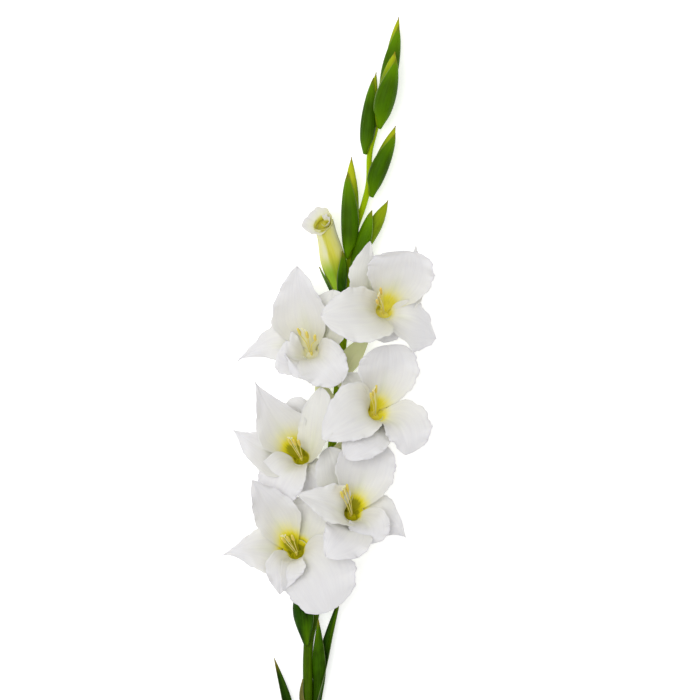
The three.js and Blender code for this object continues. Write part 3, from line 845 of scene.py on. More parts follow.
@dataclass(frozen=True)
class Lobe:
    """One lobe of a floret. On its grid t runs from foot to tip and v across it."""

    at: float  # its place round the mouth, in degrees from the right
    tip: tuple[float, float, float]  # the point that its tip reaches
    half: float  # its greatest half width
    rise: float  # how far it rises before it bends
    arch: float  # how far it arches to the viewer
    cup: float  # the angle that half its blade curls round
    point: float  # from 0 for a round tip to 2 for a long, sharp one
    wave: float  # how strongly its margin waves
    phase: float  # what sets its waves apart from those of the others
    peak: float = 0.48  # the t where it is widest
    skew: float = 0.0  # how much wider its one side is than its other

    def half_width(self, t: Array) -> Array:
        """Its half width grows from its foot to its peak as 1 - (1 - x)^2, and from a
        little before the peak it closes to its tip as (1 - x^q)^r.

        Args:
            t: the column of t.

        Returns:
            The half width for each t.
        """
        grow = 1 - (1 - np.clip(t / self.peak, 0, 1)) ** 2
        begins = self.peak - 0.08
        close = np.clip((t - begins) / (1 - begins), 0, 1) ** max(2.4 - 1.3 * self.point, 1.0)
        half = mix(LOBE_FOOT_HALF, self.half, grow) * (1 - close) ** (0.4 + 0.6 * self.point)
        return half * np.where(t < 0, 1 + 5 * t, 1)

    def outline(self, half: Array, t: Array, v: Array) -> Array:
        """Makes one side wider by the skew, and the margin itself a little uneven by two
        waves that grow as v^6.

        Args:
            half: the half width for each t.
            t: the column of t.
            v: the row of v.

        Returns:
            The half width for each point.
        """
        half = half * (1 + self.skew * ease(t / 0.3) * v / np.sqrt(v * v + 0.06))
        hand = np.where(v > 0, 0.0, HAND)
        uneven = np.sin(TURN * 5.3 * t + self.phase + hand)
        uneven = uneven + 0.6 * np.sin(TURN * 13 * t + 3 * self.phase)
        return half * (1 + ease(t / 0.4) * np.abs(v) ** 6 * 0.025 * uneven)

    def relief(self, ring: RingSizes, t: Array, v: Array) -> Array:
        """How far each point stands off the lobe's curl, to the viewer: the sum of its
        waves, groove, pleats and buckles and of its place over or under its neighbours.

        Args:
            ring: the sizes of its ring.
            t: the column of t.
            v: the row of v.

        Returns:
            The distance for each point.
        """
        edge = np.abs(v)
        # The margin waves in three sizes, each nearer to the edge than the one before.
        hand = np.where(v > 0, 0.0, HAND)
        grown = ease((t - 0.2) / 0.3) * (1 - np.clip(t, 0, 1) ** 6) * self.wave
        lift = 1.35 * grown * (
            edge**3 * np.sin(TURN * 1.8 * t + self.phase + hand)
            + 0.5 * edge**4 * np.sin(TURN * 4.6 * t + 2.3 * self.phase + 1.7 * hand)
            + 0.22 * edge**8 * np.sin(TURN * 11.5 * t + 4.1 * self.phase + 2.9 * hand)
        )
        # A shallow groove along the midrib, and soft pleats that run with the veins.
        lift = lift - 0.6 * bump_at(v, 0, 0.09) * ease(t / 0.2) * (1 - 0.7 * t)
        pleated = ease((t - 0.2) / 0.4) * (1 - edge**4) * (1 - t)
        lift = lift + 0.22 * np.sin(7.5 * v + self.phase) * pleated
        # The whole lobe is gently buckled.
        swing = np.sin(TURN * 0.9 * t + 1.7 * self.phase) * np.sin(2.9 * v + 2.4 * t + self.phase)
        ripple = np.sin(TURN * 2.3 * t + 2.9 * self.phase) * np.sin(5.2 * v - 3 * t + 2 * self.phase)
        buckle = 0.75 * swing + 0.35 * ripple
        lift = lift + buckle * ease((t - 0.15) / 0.3) * min(self.half / 22, 1)
        # The margins of inner lobes lie over those of the outer ones beside them.
        over = ease((t - 0.08) / 0.2) * (1 - ease((t - 0.55) / 0.35))
        lift = lift + ring.margins * edge**2 * over
        return lift - ring.sunk * ease((t - 0.02) / 0.1) * (1 - ease((t - 0.5) / 0.3))


# Gives a point of a cluster of anthers, so far ahead, across and up from its neck.
Placer = Callable[[float, float, float], Array]


@dataclass(frozen=True)
class Floret:
    """A floret in its two bracts."""

    name: str
    node: float  # how far along the stem it grows
    side: int  # 1 for the right of the stem, -1 for its left
    mouth: tuple[float, float, float]  # the middle of the tube's mouth
    faces: tuple[float, float, float]  # the way that it faces
    lobes: tuple[Lobe, ...]
    anthers: tuple[float, float, float] = (0, 0, 0)  # the middle of its cluster of anthers
    throat: float = 1.0  # how strong its yellow is
    ripe: float = 0.0  # how orange its anthers are
    fan: float = 1.0  # how far its anthers stand apart
    pale: float = 0.85  # how pale its bracts are painted: painted light washing through them
    rows: int = 60  # steps of a lobe's grid, along and across it
    columns: int = 34

    @property
    def front(self) -> Array:
        """The way that the floret faces."""
        return unit(vec(*self.faces))

    @property
    def up(self) -> Array:
        """The floret's own up, square to the way it faces."""
        return square_to(vec(0, 1, 0), self.front)

    @property
    def right(self) -> Array:
        """The floret's own right."""
        return np.cross(self.up, self.front)

    @property
    def path(self) -> Bezier:
        """The tube's middle line.

        Returns:
            A curve from beside the stem to the mouth.
        """
        foot, _ = foot_of(self.node, self.side, TUBE_ASIDE, INNER_CURL + BRACT_THICK / 2)
        mouth = vec(*self.mouth)
        return Bezier(
            foot, foot + vec(self.side * 3, 28, 3.5), mouth - self.front * 16 + vec(0, -10, 0), mouth
        )

    def radius(self, s: Any) -> Any:
        """The tube's outer radius at a share s of its length: it opens as 0.2 s + 0.8 s^6."""
        s = np.asarray(s, dtype=float)
        return TUBE_FOOT_RADIUS + (MOUTH_RADIUS - TUBE_FOOT_RADIUS) * (0.2 * s + 0.8 * s**6)

    def lobe_sheet(self, shape: Shape, lobe: Lobe, ring: RingSizes, piece: int) -> None:
        """Adds a lobe: a blade that begins as a sector of the funnel and curls less and
        less to its own cup. The funnel leans, so that its far wall lies open to the viewer
        and its near wall stands up and hides the throat behind its lip.

        Args:
            shape: the mesh to add to.
            lobe: the lobe's sizes.
            ring: the sizes of its ring.
            piece: its number, which tells its veins from its neighbours'.
        """
        t, v = grid(self.rows, self.columns, start=-0.07)
        mouth, front = vec(*self.mouth), self.front
        angle = math.radians(lobe.at)
        out = self.right * math.cos(angle) + self.up * math.sin(angle)
        facing = float(out @ unit(front * vec(1, 1, 0)))
        foot = mouth - front * LOBE_SINK + out * (self.radius(1) - ring.inset)
        lean = math.radians(ring.lean + LEAN_BY_SIDE * facing)
        rise = foot + (front * math.cos(lean) + out * math.sin(lean)) * lobe.rise
        tip = vec(*lobe.tip)
        curve = Bezier(foot, rise, mix(rise, tip, 0.6) + front * lobe.arch, tip)
        centres = curve.at(t[:, 0])
        inward = mix(unit(mouth + front * FOCUS - centres), front, 0.8 * np.clip(t, 0, 1))
        half = lobe.half_width(t)
        off_axis = np.linalg.norm(np.cross(centres - mouth, front), axis=1)[:, None]
        sector = np.minimum(ring.overlap * half / off_axis, ring.sector)
        bow = mix(sector, lobe.cup, ease((t - 0.18) / 0.5))
        half = lobe.outline(half, t, v)
        points = blade(curve, inward, half, bow, lobe.relief(ring, t, v), t, v)
        place = marks(v * 20 + lobe.phase, t * 60, piece)
        tint = self.lobe_tint(ring, out, facing, t, v)
        shape.sheet(points, LOBE_THICK - 0.3 * np.abs(v) ** 4, place, tint)

    def lobe_tint(self, ring: RingSizes, out: Array, facing: float, t: Array, v: Array) -> Array:
        """A lobe's yellow, green and grey. The grey of its margins is painted shade, and so is the
        extra depth of yellow at the foot of a lobe on the near wall.

        Args:
            ring: the sizes of its ring.
            out: the way that it leaves the mouth.
            facing: from 1 on the funnel's far wall to -1 on its near one.
            t: the column of t.
            v: the row of v.

        Returns:
            The tint of each point.
        """
        far = max(0.0, 0.25 + 0.75 * facing)
        # At its foot a lobe is deep yellow, the throat's own colour; on the near wall it is deeper
        # still, and that extra depth is painted shade under the lip.
        deep = (0.86 - 0.14 * facing) * (1 - ease((t + 0.02) / (0.1 + 0.14 * far)))
        fade = (1 - np.clip((t - 0.06) / (0.1 + ring.yellow * far), 0, 1)) ** 1.5
        yellow = self.throat * np.clip(deep + 0.85 * far * fade * bump_at(v, 0, 0.7), 0, 1)
        # A lobe that lies over the stem is painted a little of the stem's green and yellow: painted
        # light, the stem showing through the thin lobe.
        stemward = max(0.0, -self.side * float(out[0])) * float(np.clip((out[1] + 0.55) / 0.35, 0, 1))
        stemward = stemward * (1 - 0.6 * t)
        yellow = yellow + 0.07 * (1 - ease((t - 0.1) / 0.6)) + 0.07 * stemward
        green = 0.2 * bump_at(v, 0, 0.16) * ease((t - 0.1) / 0.15) * (1 - ease(t / 0.6))
        green = green + 0.06 * stemward
        # The grey of the margins is painted shade.
        margin = 0.3 * ease((np.abs(v) - 0.9) / 0.1) * ease((t - 0.3) / 0.4)
        return marks(yellow, green, margin)

    def skin(self, share: Array, angle: Array) -> tuple[Array, Array, Array]:
        """The tube's outside: three low ribs as a factor of the radius, yellow and green."""
        ribs = 1 + 0.035 * np.cos(3 * angle + 4 * share)
        return ribs, 0 * ribs, mix(0.95, 0.3, ease((share - 0.3) / 0.7)) + 0 * angle

    def funnel(self, shape: Shape, reach: float = 3.2, flare: float = 2.6) -> None:
        """Adds the tube: rings along its path and on past the mouth, where it opens as a
        funnel behind the lobes, and back down its inside to the floor of its hollow.

        Args:
            shape: the mesh to add to.
            reach: how far the rings go on past the mouth.
            flare: how much wider the last one is than the mouth.
        """
        rings, sides = 49, 40
        s = np.linspace(0, 1, rings)
        past = np.linspace(0, 1, 7)[1:]
        front, path, mouth = self.front, self.path, vec(*self.mouth)
        rim = float(self.radius(1))
        centres = np.vstack([path.at(s), mouth + front * (past * reach)[:, None]])
        along = np.vstack([path.along(s), np.tile(front, (len(past), 1))])
        outside = np.concatenate([self.radius(s), rim + flare * past**1.1])
        inside = np.maximum(outside - TUBE_WALL, 0.5)
        share = np.concatenate([s, 1 + past * 0.1])
        there = np.arange(len(share))
        back = there[share > TUBE_HOLLOW_FROM][::-1]
        order = np.concatenate([there, back])
        radii = np.concatenate([outside, inside[back]])
        hollow = np.concatenate([np.zeros(len(there)), np.ones(len(back))])[:, None]
        share = share[order][:, None]
        angle = ring_angles(sides)[None]
        # The hollow is in a deeper colour towards its floor, partly the throat's own yellow and
        # partly painted shade of its depth, and deeper on the viewer's side, painted shade under the
        # near lip.
        tilt = front * vec(1, 1, 0)
        near = 0.5 - 0.5 * np.cos(angle - math.atan2(float(tilt @ self.up), float(tilt @ self.right)))
        inner = self.throat * np.clip(0.74 + 0.16 * near + 0.16 * ease((1.06 - share) / 0.08), 0, 1)
        ribs, yellow, green = self.skin(share, angle)
        shape.tube(
            centres[order],
            along[order],
            radii[:, None] * mix(ribs, 1, hollow),
            self.right,
            marks(mix(yellow, inner, hollow), mix(green, 0, hollow), 0),
            piece=9,
            sides=sides,
        )

    def build_petals(self, palette: Palette) -> None:
        """Makes the white body: the tube and its lobes.

        Args:
            palette: the finishes.
        """
        shape = Shape()
        self.funnel(shape)
        for i, lobe in enumerate(self.lobes):
            ring = (Ring.INNER, Ring.OUTER)[i % 2]
            self.lobe_sheet(shape, lobe, ring.value, i)
        shape.build(f"{self.name}_petals", palette, Slot.PETAL, f"{self.name}_perianth")

    def build_stamens(self, palette: Palette) -> None:
        """Makes three filaments with their anthers and a style with three stigmas, on the
        column that stands on the floor of the tube's hollow.

        Args:
            palette: the finishes.
        """
        front, path, neck = self.front, self.path, vec(*self.mouth) + self.front
        lean = vec(*self.anthers) - neck
        reach = float(np.linalg.norm(lean))
        lean = lean / reach
        aside = unit(np.cross(front, lean))

        def at(ahead: float, across: float, lift: float) -> Array:
            """The point so far on from the neck, so far to the side and so far up."""
            return neck + lean * ahead + aside * across + front * lift

        shape = Shape()
        floor = path.at(TUBE_HOLLOW_FROM) + path.along(TUBE_HOLLOW_FROM) * GAP
        column = Through(np.stack([floor, mix(floor, neck, 0.5), neck]))
        u = np.linspace(0, 1, 14)
        plain = np.zeros((14, 3))
        shape.tube(column.at(u), column.along(u), 0.9 + 0.25 * u, self.right, plain, sides=16)
        for k in (-1, 0, 1):
            self.add_stamen(shape, at, reach, aside, k)
        self.add_style(shape, at, reach, aside)
        shape.build(f"{self.name}_stamens_and_style", palette, Slot.STAMEN, f"{self.name}_stamens")

    def add_stamen(self, shape: Shape, at: Placer, reach: float, aside: Array, k: int) -> None:
        """Adds a filament that ends in its anther, which swells as a long lens and has a
        groove down its front.

        Args:
            shape: the mesh to add to.
            at: gives a point of the cluster.
            reach: how far on the middle of an anther lies.
            aside: the cluster's side.
            k: its place in the fan, -1, 0 or 1.
        """
        line = Through(
            np.stack(
                [
                    at(-1, k * 1.15, 0),
                    at(reach * 0.45, k * 2.4, 1.5),
                    at(reach - 5, k * self.fan * 3.4, 0),
                    at(reach, k * self.fan * 3.6, 0),
                    at(reach + 5, k * self.fan * 4.2, 0.6),
                ]
            )
        )
        s = np.linspace(0, 1, 60)
        sac = np.clip((s - 0.5) / 0.5, 0, 1)
        swell = np.clip(4 * sac * (1 - sac), 0, 1) ** 0.45
        groove = 1 - 0.38 * bump_at(ring_angles(20), math.pi / 2, 0.4)
        radii = 0.38 + (0.86 * swell)[:, None] * groove[None]
        tint = marks(0.8 * ease(swell / 0.3), self.ripe * ease(swell / 0.3), 0)
        shape.tube(line.at(s), line.along(s), radii, aside, tint, piece=k, sides=20)

    def add_style(self, shape: Shape, at: Placer, reach: float, aside: Array) -> None:
        """Adds the style and its three stigmas, thin stalks that widen to flat ends.

        Args:
            shape: the mesh to add to.
            at: gives a point of the cluster.
            reach: how far on the middle of an anther lies.
            aside: the cluster's side.
        """
        style = Through(np.stack([at(-1, 0, 1.2), at(reach * 0.5, 1, 4), at(reach + 4, 1.8, 3.5)]))
        s = np.linspace(0, 1, 30)
        pale = marks(0, 0, np.full(30, 0.6))
        shape.tube(style.at(s), style.along(s), 0.36 + 0 * s, aside, pale, sides=12)
        s = np.linspace(0, 1, 16)
        wide = 0.28 + 0.36 * ease(s / 0.8)
        flat = wide[:, None] * (0.55 + 0.45 * np.abs(np.cos(ring_angles(12)))[None])
        for k, lift in ((-1, 4.4), (1, 4.4), (0.2, 5.0)):
            foot, bend = at(reach + 3.4, 1.8, 3.5), at(reach + 4.6, 1.8 + k, 4)
            branch = Through(np.stack([foot, bend, at(reach + 6, 1.8 + k * 1.9, lift)]))
            shape.tube(branch.at(s), branch.along(s), flat, aside, marks(0, 0, 1 + 0 * s), sides=12)

    def build_bracts(self, palette: Palette) -> None:
        """Makes the two bracts that the tube rises out of.

        Args:
            palette: the finishes.
        """
        _, out = foot_of(self.node, self.side, TUBE_ASIDE, 0)
        outer = Bract(cover=0.7, clear=3.8, curl=OUTER_CURL, swell=7.2, wrap=1.9, pale=self.pale)
        inner = Bract(cover=0.52, clear=0.8, curl=INNER_CURL, swell=1.6, wrap=1.8, pale=self.pale)
        outer.build(self.path, out, palette, f"{self.name}_outer_bract")
        inner.build(self.path, -out, palette, f"{self.name}_inner_bract")


@dataclass(frozen=True)
class Bract:
    """A bract beside a floret's tube: it wraps the tube at its foot, swells clear of it
    and closes to a point."""

    cover: float  # share of the tube's length that it runs along
    clear: float  # how far its middle swells clear of the tube
    curl: float  # its radius at the foot
    swell: float  # how much wider its radius grows
    wrap: float  # angle that each half wraps round at the foot
    pale: float  # how pale it is painted: painted light washing through it
    open: float = 1.2  # the same angle from the middle on
    thick: float = 0.7
    piece: float = 20.0  # its number, which picks a stretch of the veins' noise

    def build(self, path: Bezier, out: Array, palette: Palette, name: str) -> None:
        """Makes the bract. Its swell goes as sin(pi t^0.8), its foot is drawn in to 0.55
        of its width, and it closes to its tip as 1 - t^2.4.

        Args:
            path: the tube's middle line.
            out: the side that it stands on.
            palette: the finishes.
            name: the solid that it stands for.
        """
        t, v = grid(56, 26)
        knots = np.linspace(0, 1, 7)

        def spread(x: Array) -> Array:
            """The swell at a share x of the bract."""
            return np.sin(math.pi * x**0.8)

        def outward(x: Array) -> Array:
            """The way from the tube to the bract at a share x."""
            return square_to(np.broadcast_to(out, (len(x), 3)), path.along(x * self.cover))

        off = self.curl + self.clear * spread(knots) + 1.2 * knots
        middle = Through(path.at(knots * self.cover) + outward(knots) * off[:, None])
        wrap = mix(self.wrap, self.open, ease(t / 0.5))
        close = 1 - t**2.4
        foot = mix(0.55, 1, ease(t / 0.55))
        half = (self.curl + self.swell * spread(t)) * wrap * close**0.9 * foot
        keel = -0.5 * bump_at(v, 0, 0.08) * ease(t / 0.2)
        points = blade(middle, -outward(t[:, 0]), half, wrap * close**0.5, keel, t, v)
        light = 0.45 * bump_at(v, -0.3, 0.4) * (1 - ease(t / 0.5)) + 0.25 * ease((t - 0.4) / 0.6)
        # Pale at the margins, and all over as pale as the bract is painted: painted light washing
        # through it.
        edge = np.maximum(0.2 * ease((np.abs(v) - 0.9) / 0.1), self.pale)
        tint = marks(np.clip(light, 0, 1), 0.5 * ease((t - 0.86) / 0.14), edge)
        place = marks(v * 9, t * 70, self.piece)
        shape = Shape()
        shape.sheet(points, self.thick - 0.35 * np.abs(v) ** 4, place, tint)
        shape.build(f"{name}_skin", palette, Slot.BRACT, name)


@dataclass(frozen=True)
class Clasp:
    """A bract close round a bud: it follows the bud's own radius and closes to a point."""

    out: tuple[float, float, float]  # the side of the bud that it stands on
    cover: float  # share of the bud's length that it runs along
    off: float  # how far off the bud it lies
    wrap: tuple[float, float]  # angle that each half wraps round, at foot and tip
    flare: float = 0.0  # how far its tip stands off
    thick: float = 0.65

    def add(self, shape: Shape, path: Bezier, radius: Callable[[Array], Array], light: float,
            piece: int) -> None:
        """Adds the bract to a mesh. Its curl is 1.06 times the bud's radius, and its off
        more. Its foot is drawn in to half its width, and it closes to its tip as 1 - t^3.

        Args:
            shape: the mesh to add to.
            path: the bud's middle line.
            radius: the function that gives the bud's radius at a share of its length.
            light: how much of its green is the lighter one.
            piece: its number.
        """
        t, v = grid(52, 26)
        knots = np.linspace(0, 1, 9)

        def curl(x: Array) -> Array:
            """The bract's radius at a share x of it."""
            return radius(x * self.cover) * 1.06 + self.off

        def outward(x: Array) -> Array:
            """The way from the bud to the bract at a share x."""
            side = np.broadcast_to(vec(*self.out), (len(x), 3))
            return square_to(side, path.along(x * self.cover))

        stand = curl(knots) + self.flare * knots**3
        middle = Through(path.at(knots * self.cover) + outward(knots) * stand[:, None])
        wrap = mix(self.wrap[0], self.wrap[1], t)
        close = 1 - t**3
        half = curl(t) * wrap * close**0.9 * mix(0.5, 1, ease(t / 0.22))
        keel = -0.35 * bump_at(v, 0, 0.07) * ease(t / 0.15)
        points = blade(middle, -outward(t[:, 0]), half, wrap * close**0.6, keel, t, v)
        lit = light * (0.35 + 0.65 * (1 - ease(t / 0.35))) + 0.5 * ease((t - 0.55) / 0.4)
        tip = 0.6 * ease((t - 0.86) / 0.12)
        edge = 0.25 * ease((np.abs(v) - 0.9) / 0.1)
        place = marks(v * 9, t * 55, piece)
        tint = marks(np.clip(lit, 0, 1), tip, edge)
        shape.sheet(points, self.thick - 0.3 * np.abs(v) ** 4, place, tint)


@dataclass(frozen=True)
class Frill:
    """A rolled and ruffled sheet that stands in the mouth of an opening bud. Its angles
    are in degrees from the bud's right."""

    turn: tuple[float, float]  # where it begins and ends
    widest: float  # the angle where it flares most
    tallest: float  # the angle where it is highest
    foot: float  # radius of its foot
    flare: tuple[float, float]  # least and greatest
    height: tuple[float, float]  # least and greatest
    aside: float = 0.0  # how far its middle lies to the bud's right
    wave: float = 1.0  # how strongly its margin waves

    def add(self, shape: Shape, bud: Floret, piece: int) -> None:
        """Adds the sheet. From its foot, t = 0, to its margin, t = 1, it stands off the
        bud's middle by foot + flare t^1.6 and rises as t^0.8. Sines of its angle ruffle
        both, growing as t^2 and most where it is widest.

        Args:
            shape: the mesh to add to.
            bud: the bud whose mouth it stands in.
            piece: its number.
        """
        t, v = np.linspace(0, 1, 30)[:, None], np.linspace(0, 1, 121)[None]
        angle = np.radians(mix(self.turn[0], self.turn[1], v))
        far = (0.5 + 0.5 * np.cos(angle - math.radians(self.widest))) ** 1.3
        high = 0.5 + 0.5 * np.cos(angle - math.radians(self.tallest))
        loose = self.wave * t**2 * (0.25 + 0.75 * far)
        off = self.foot + mix(self.flare[0], self.flare[1], far) * t**1.6
        off = off + loose * (1.1 * np.sin(4 * angle + 1) + 0.6 * np.sin(9 * angle + 2))
        rise = -LOBE_SINK + (mix(self.height[0], self.height[1], high) + LOBE_SINK) * t**0.8
        rise = rise + loose * (1.1 * np.sin(6 * angle + 0.5) + 0.6 * np.sin(13 * angle))
        out = bud.right * np.cos(angle)[..., None] + bud.up * np.sin(angle)[..., None]
        middle = vec(*bud.mouth) + bud.right * self.aside
        points = middle + out * off[..., None] + bud.front * rise[..., None]
        yellow = 0.1 + 0.7 * (1 - ease(t / 0.6)) + 0.3 * (1 - far) * ease(t / 0.3)
        # Grey on the margin where it flares: painted shade.
        margin = 0.5 * ease((t - 0.55) / 0.45) * far
        place = marks(angle * 9, t * 14, piece)
        shape.sheet(points, 0.45 - 0.2 * t**4 + 0 * v, place, marks(yellow, 0, margin))


@dataclass(frozen=True)
class OpeningBud(Floret):
    """The bud that is just opening: its petals are still furled into a fat body, and
    only their margins have begun to spread."""

    body: float = 10.0  # its greatest radius
    frills: tuple[Frill, ...] = ()
    clasps: tuple[tuple[str, Clasp], ...] = ()  # its bracts, by their solids' names

    def radius(self, s: Any) -> Any:
        """The body's outer radius swells smoothly up to s = 0.62 and narrows a little
        again.

        Args:
            s: shares of the body's length.

        Returns:
            The radius at each.
        """
        s = np.asarray(s, dtype=float)
        swell = ease(s / 0.62) ** 1.2 * (1 - 0.24 * ease((s - 0.6) / 0.3))
        return TUBE_FOOT_RADIUS + (self.body - TUBE_FOOT_RADIUS) * swell

    def skin(self, share: Array, angle: Array) -> tuple[Array, Array, Array]:
        """The body's outside. The furled petals' edges run round it as three steps, each
        with a deeper yellow in its crease.

        Args:
            share: the column of shares of its length.
            angle: the row of angles round it.

        Returns:
            Its relief as a factor of the radius, its yellow and its green.
        """
        turns = (3 * angle / TURN + 0.3 * share + 0.39) % 1
        relief = 1 + (0.2 * turns - 0.1) * ease(share / 0.3)
        crease = bump_at(turns, 0.05, 0.5) + bump_at(turns, 1.0, 0.04)
        young = 1 - ease((share - 0.4) / 0.3)
        green = np.clip(1.3 * young, 0, 1) * (1 - 0.25 * crease)
        return relief, 0.3 + 0.34 * crease + 0.25 * young, green

    def build_petals(self, palette: Palette) -> None:
        """Makes the furled petals: the body and its frills.

        Args:
            palette: the finishes.
        """
        shape = Shape()
        self.funnel(shape, reach=1.5, flare=0.5)
        for i, frill in enumerate(self.frills):
            frill.add(shape, self, i)
        name = f"{self.name}_young_petals"
        shape.build(name, palette, Slot.YOUNG_PETAL, f"{self.name}_petals")

    def build_bracts(self, palette: Palette) -> None:
        """Makes the bracts, which clasp the body's foot.

        Args:
            palette: the finishes.
        """
        for piece, (node, clasp) in enumerate(self.clasps):
            skin = Shape()
            clasp.add(skin, self.path, self.radius, 0.1, piece)
            skin.build(f"{node}_skin", palette, Slot.BRACT, node)


# The buds


@dataclass(frozen=True)
class Bud:
    """A green bud in its bract."""

    name: str
    node: float  # how far along the stem it grows
    side: int  # 1 for the right of the stem, -1 for its left, 0 for the stem's own end
    aside: float  # how far its way out of the stem leans to its side
    tip: tuple[float, float, float]  # the point that its tip reaches
    rise: tuple[float, float, float]  # the way that it first takes
    thickness: float  # its greatest radius
    cover: float  # share of its length that its bract runs along
    flare: float  # how far its bract's tip stands off
    pale: float  # how much petal shows at its tip
    light: float  # how much of its bract's green is the lighter one
    belly: float = 0.8  # a power: the more, the nearer its greatest width is to its tip
    bract_at: float = 0.55  # how far its bract leans to its own side

    def radius(self, s: Any) -> Any:
        """The bud's radius: (0.2 + 0.8 sin(0.97 pi s^belly)) (1 - s^12) of its greatest.

        Args:
            s: shares of the bud's length.

        Returns:
            The radius at each.
        """
        s = np.asarray(s, dtype=float)
        swell = 0.2 + 0.8 * np.sin(math.pi * np.clip(s, 0, 1) ** self.belly * 0.97)
        return np.maximum(self.thickness * swell * (1 - s**12), 0.4)

    @property
    def path(self) -> Bezier:
        """The bud's middle line.

        Returns:
            A curve from beside the stem, or from the stem's own end, to the bud's tip.
        """
        tip = vec(*self.tip)
        if self.side == 0:
            centre = stem_at(self.node)[0]
            foot = centre + unit(centre - stem_at(self.node - 4)[0]) * (GAP + 0.4)
        else:
            lift = float(self.radius(0)) * 1.06 + 1.2
            foot = foot_of(self.node, self.side, self.aside, lift)[0]
        return Bezier(foot, foot + vec(*self.rise), mix(tip, foot, 0.3), tip)

    def build(self, palette: Palette) -> None:
        """Makes the bud's body, whose furled petals show as three low steps, and its
        bract.

        Args:
            palette: the finishes.
        """
        sides = 30
        path, s = self.path, np.linspace(0, 1, 44)
        turns = (3 * ring_angles(sides)[None] / TURN + 1.4 * s[:, None]) % 1
        radii = self.radius(s)[:, None] * (1 + (0.08 * turns - 0.04) * ease(s[:, None] / 0.3))
        tip = ease((s - 0.92) / 0.06)
        tint = marks(np.clip(0.3 + self.pale * ease((s - 0.6) / 0.3), 0, 1), 0.85 * tip, 0)
        core = Shape()
        core.tube(path.at(s), path.along(s), radii, vec(1, 0, 0), tint, sides=sides)
        core.build(f"{self.name}_body", palette, Slot.BUD, f"{self.name}_core")
        skin = Shape()
        out = (0.3 if self.side == 0 else self.side * self.bract_at, 0, 0.83)
        wrap = Clasp(out, self.cover, off=1.35, wrap=(2, 1.5), flare=self.flare)
        wrap.add(skin, path, self.radius, self.light, int(self.node))
        skin.build(f"{self.name}_wrap", palette, Slot.BRACT, f"{self.name}_bract")


# The stem and its leaves


@dataclass(frozen=True)
class Stem:
    """The stem: a round rod of faint ribs, cut square at its butt."""

    butt: float = -15.0
    end: float = 624.0
    straight: float = 20.0  # as far as here it runs straight along y
    rings: int = 220
    sides: int = 36
    rib: float = 0.02  # height of a rib as a share of the radius
    above: float = 0.02  # how far its underside stays above the table

    def build(self, palette: Palette) -> None:
        """Makes the stem: radius (0.975 + rib cos 12a), a little flat underneath.

        Args:
            palette: the finishes.
        """
        y = np.linspace(self.butt, self.end, self.rings)
        centres, radius = stem_at(y)
        ahead = stem_at(np.minimum(y + 1, self.end))[0]
        behind = stem_at(np.maximum(y - 1, self.butt))[0]
        along = np.where((y <= self.straight)[:, None], vec(0, 1, 0), unit(ahead - behind))
        angle = ring_angles(self.sides)
        radii = radius[:, None] * (0.975 + self.rib * np.cos(12 * angle)[None])
        for node in STEM_NODES:
            radii = radii * (1 + 0.03 * bump_at(y, node, 3.0))[:, None]
        # The ring's angles run from the right by way of the underside.
        down = np.sin(angle)[None]
        floor = (centres[:, 2:3] - self.above) / np.maximum(down, 1e-3)
        radii = np.where(down > 0.05, np.minimum(radii, floor), radii)
        # It gets lighter towards the florets and again towards the tip.
        light = 0.08 + 0.37 * ease((y - 200) / 200) + 0.45 * ease((y - 470) / 60)
        cut = ease(1 - (y - self.butt) / 2)
        tint = marks(np.clip(light, 0, 1), 0, 0.5 * cut)
        shape = Shape()
        shape.tube(centres, along, radii, vec(1, 0, 0), tint, sides=self.sides)
        shape.build("stem_rod", palette, Slot.STEM, "stem")


@dataclass(frozen=True)
class Leaf:
    """A leaf or bract that lies along the lower stem."""

    name: str
    line: tuple[tuple[float, float, float], ...]  # points of its middle line
    inward: tuple[tuple[float, float, float], ...]  # the way its inner face looks, foot and tip
    half: tuple[float, float]  # half its width, at foot and middle
    wrap: tuple[float, float]  # angle that each half curls round, at foot and tip
    slot: Slot
    thick: float
    light: float  # how much of its green is the lighter one
    lit_side: float = 0.4  # the v of its lighter streak near the tip

    def build(self, palette: Palette) -> None:
        """Makes the leaf, which closes as (1 - t^2)^0.9 and has a keel and fine ribs.

        Args:
            palette: the finishes.
        """
        t, v = grid(70, 26)
        middle = Through(np.array(self.line, dtype=float))
        inward = mix(vec(*self.inward[0]), vec(*self.inward[1]), t)
        half = mix(self.half[0], self.half[1], ease(t / 0.5)) * (1 - t**2) ** 0.9
        bow = mix(self.wrap[0], self.wrap[1], ease(t / 0.7))
        ribs = 0.12 * np.cos(22 * v) * (1 - np.abs(v) ** 3)
        lift = (ribs - 0.4 * bump_at(v, 0, 0.08)) * ease((1 - t) / 0.3)
        points = blade(middle, inward, half, bow, lift, t, v)
        light = self.light + 0.6 * ease((t - 0.55) / 0.45) * bump_at(v, self.lit_side, 0.5)
        edge = 0.2 * ease((np.abs(v) - 0.9) / 0.1)
        tint = marks(np.clip(light, 0, 1), 0.8 * ease((t - 0.88) / 0.12), edge)
        # The length of its name serves as its number and picks a stretch of the noise.
        place = marks(v * 8, t * 100, len(self.name))
        shape = Shape()
        shape.sheet(points, self.thick - 0.3 * np.abs(v) ** 4, place, tint)
        shape.build(f"{self.name}_sheet", palette, self.slot, self.name)


# The spike's own sizes


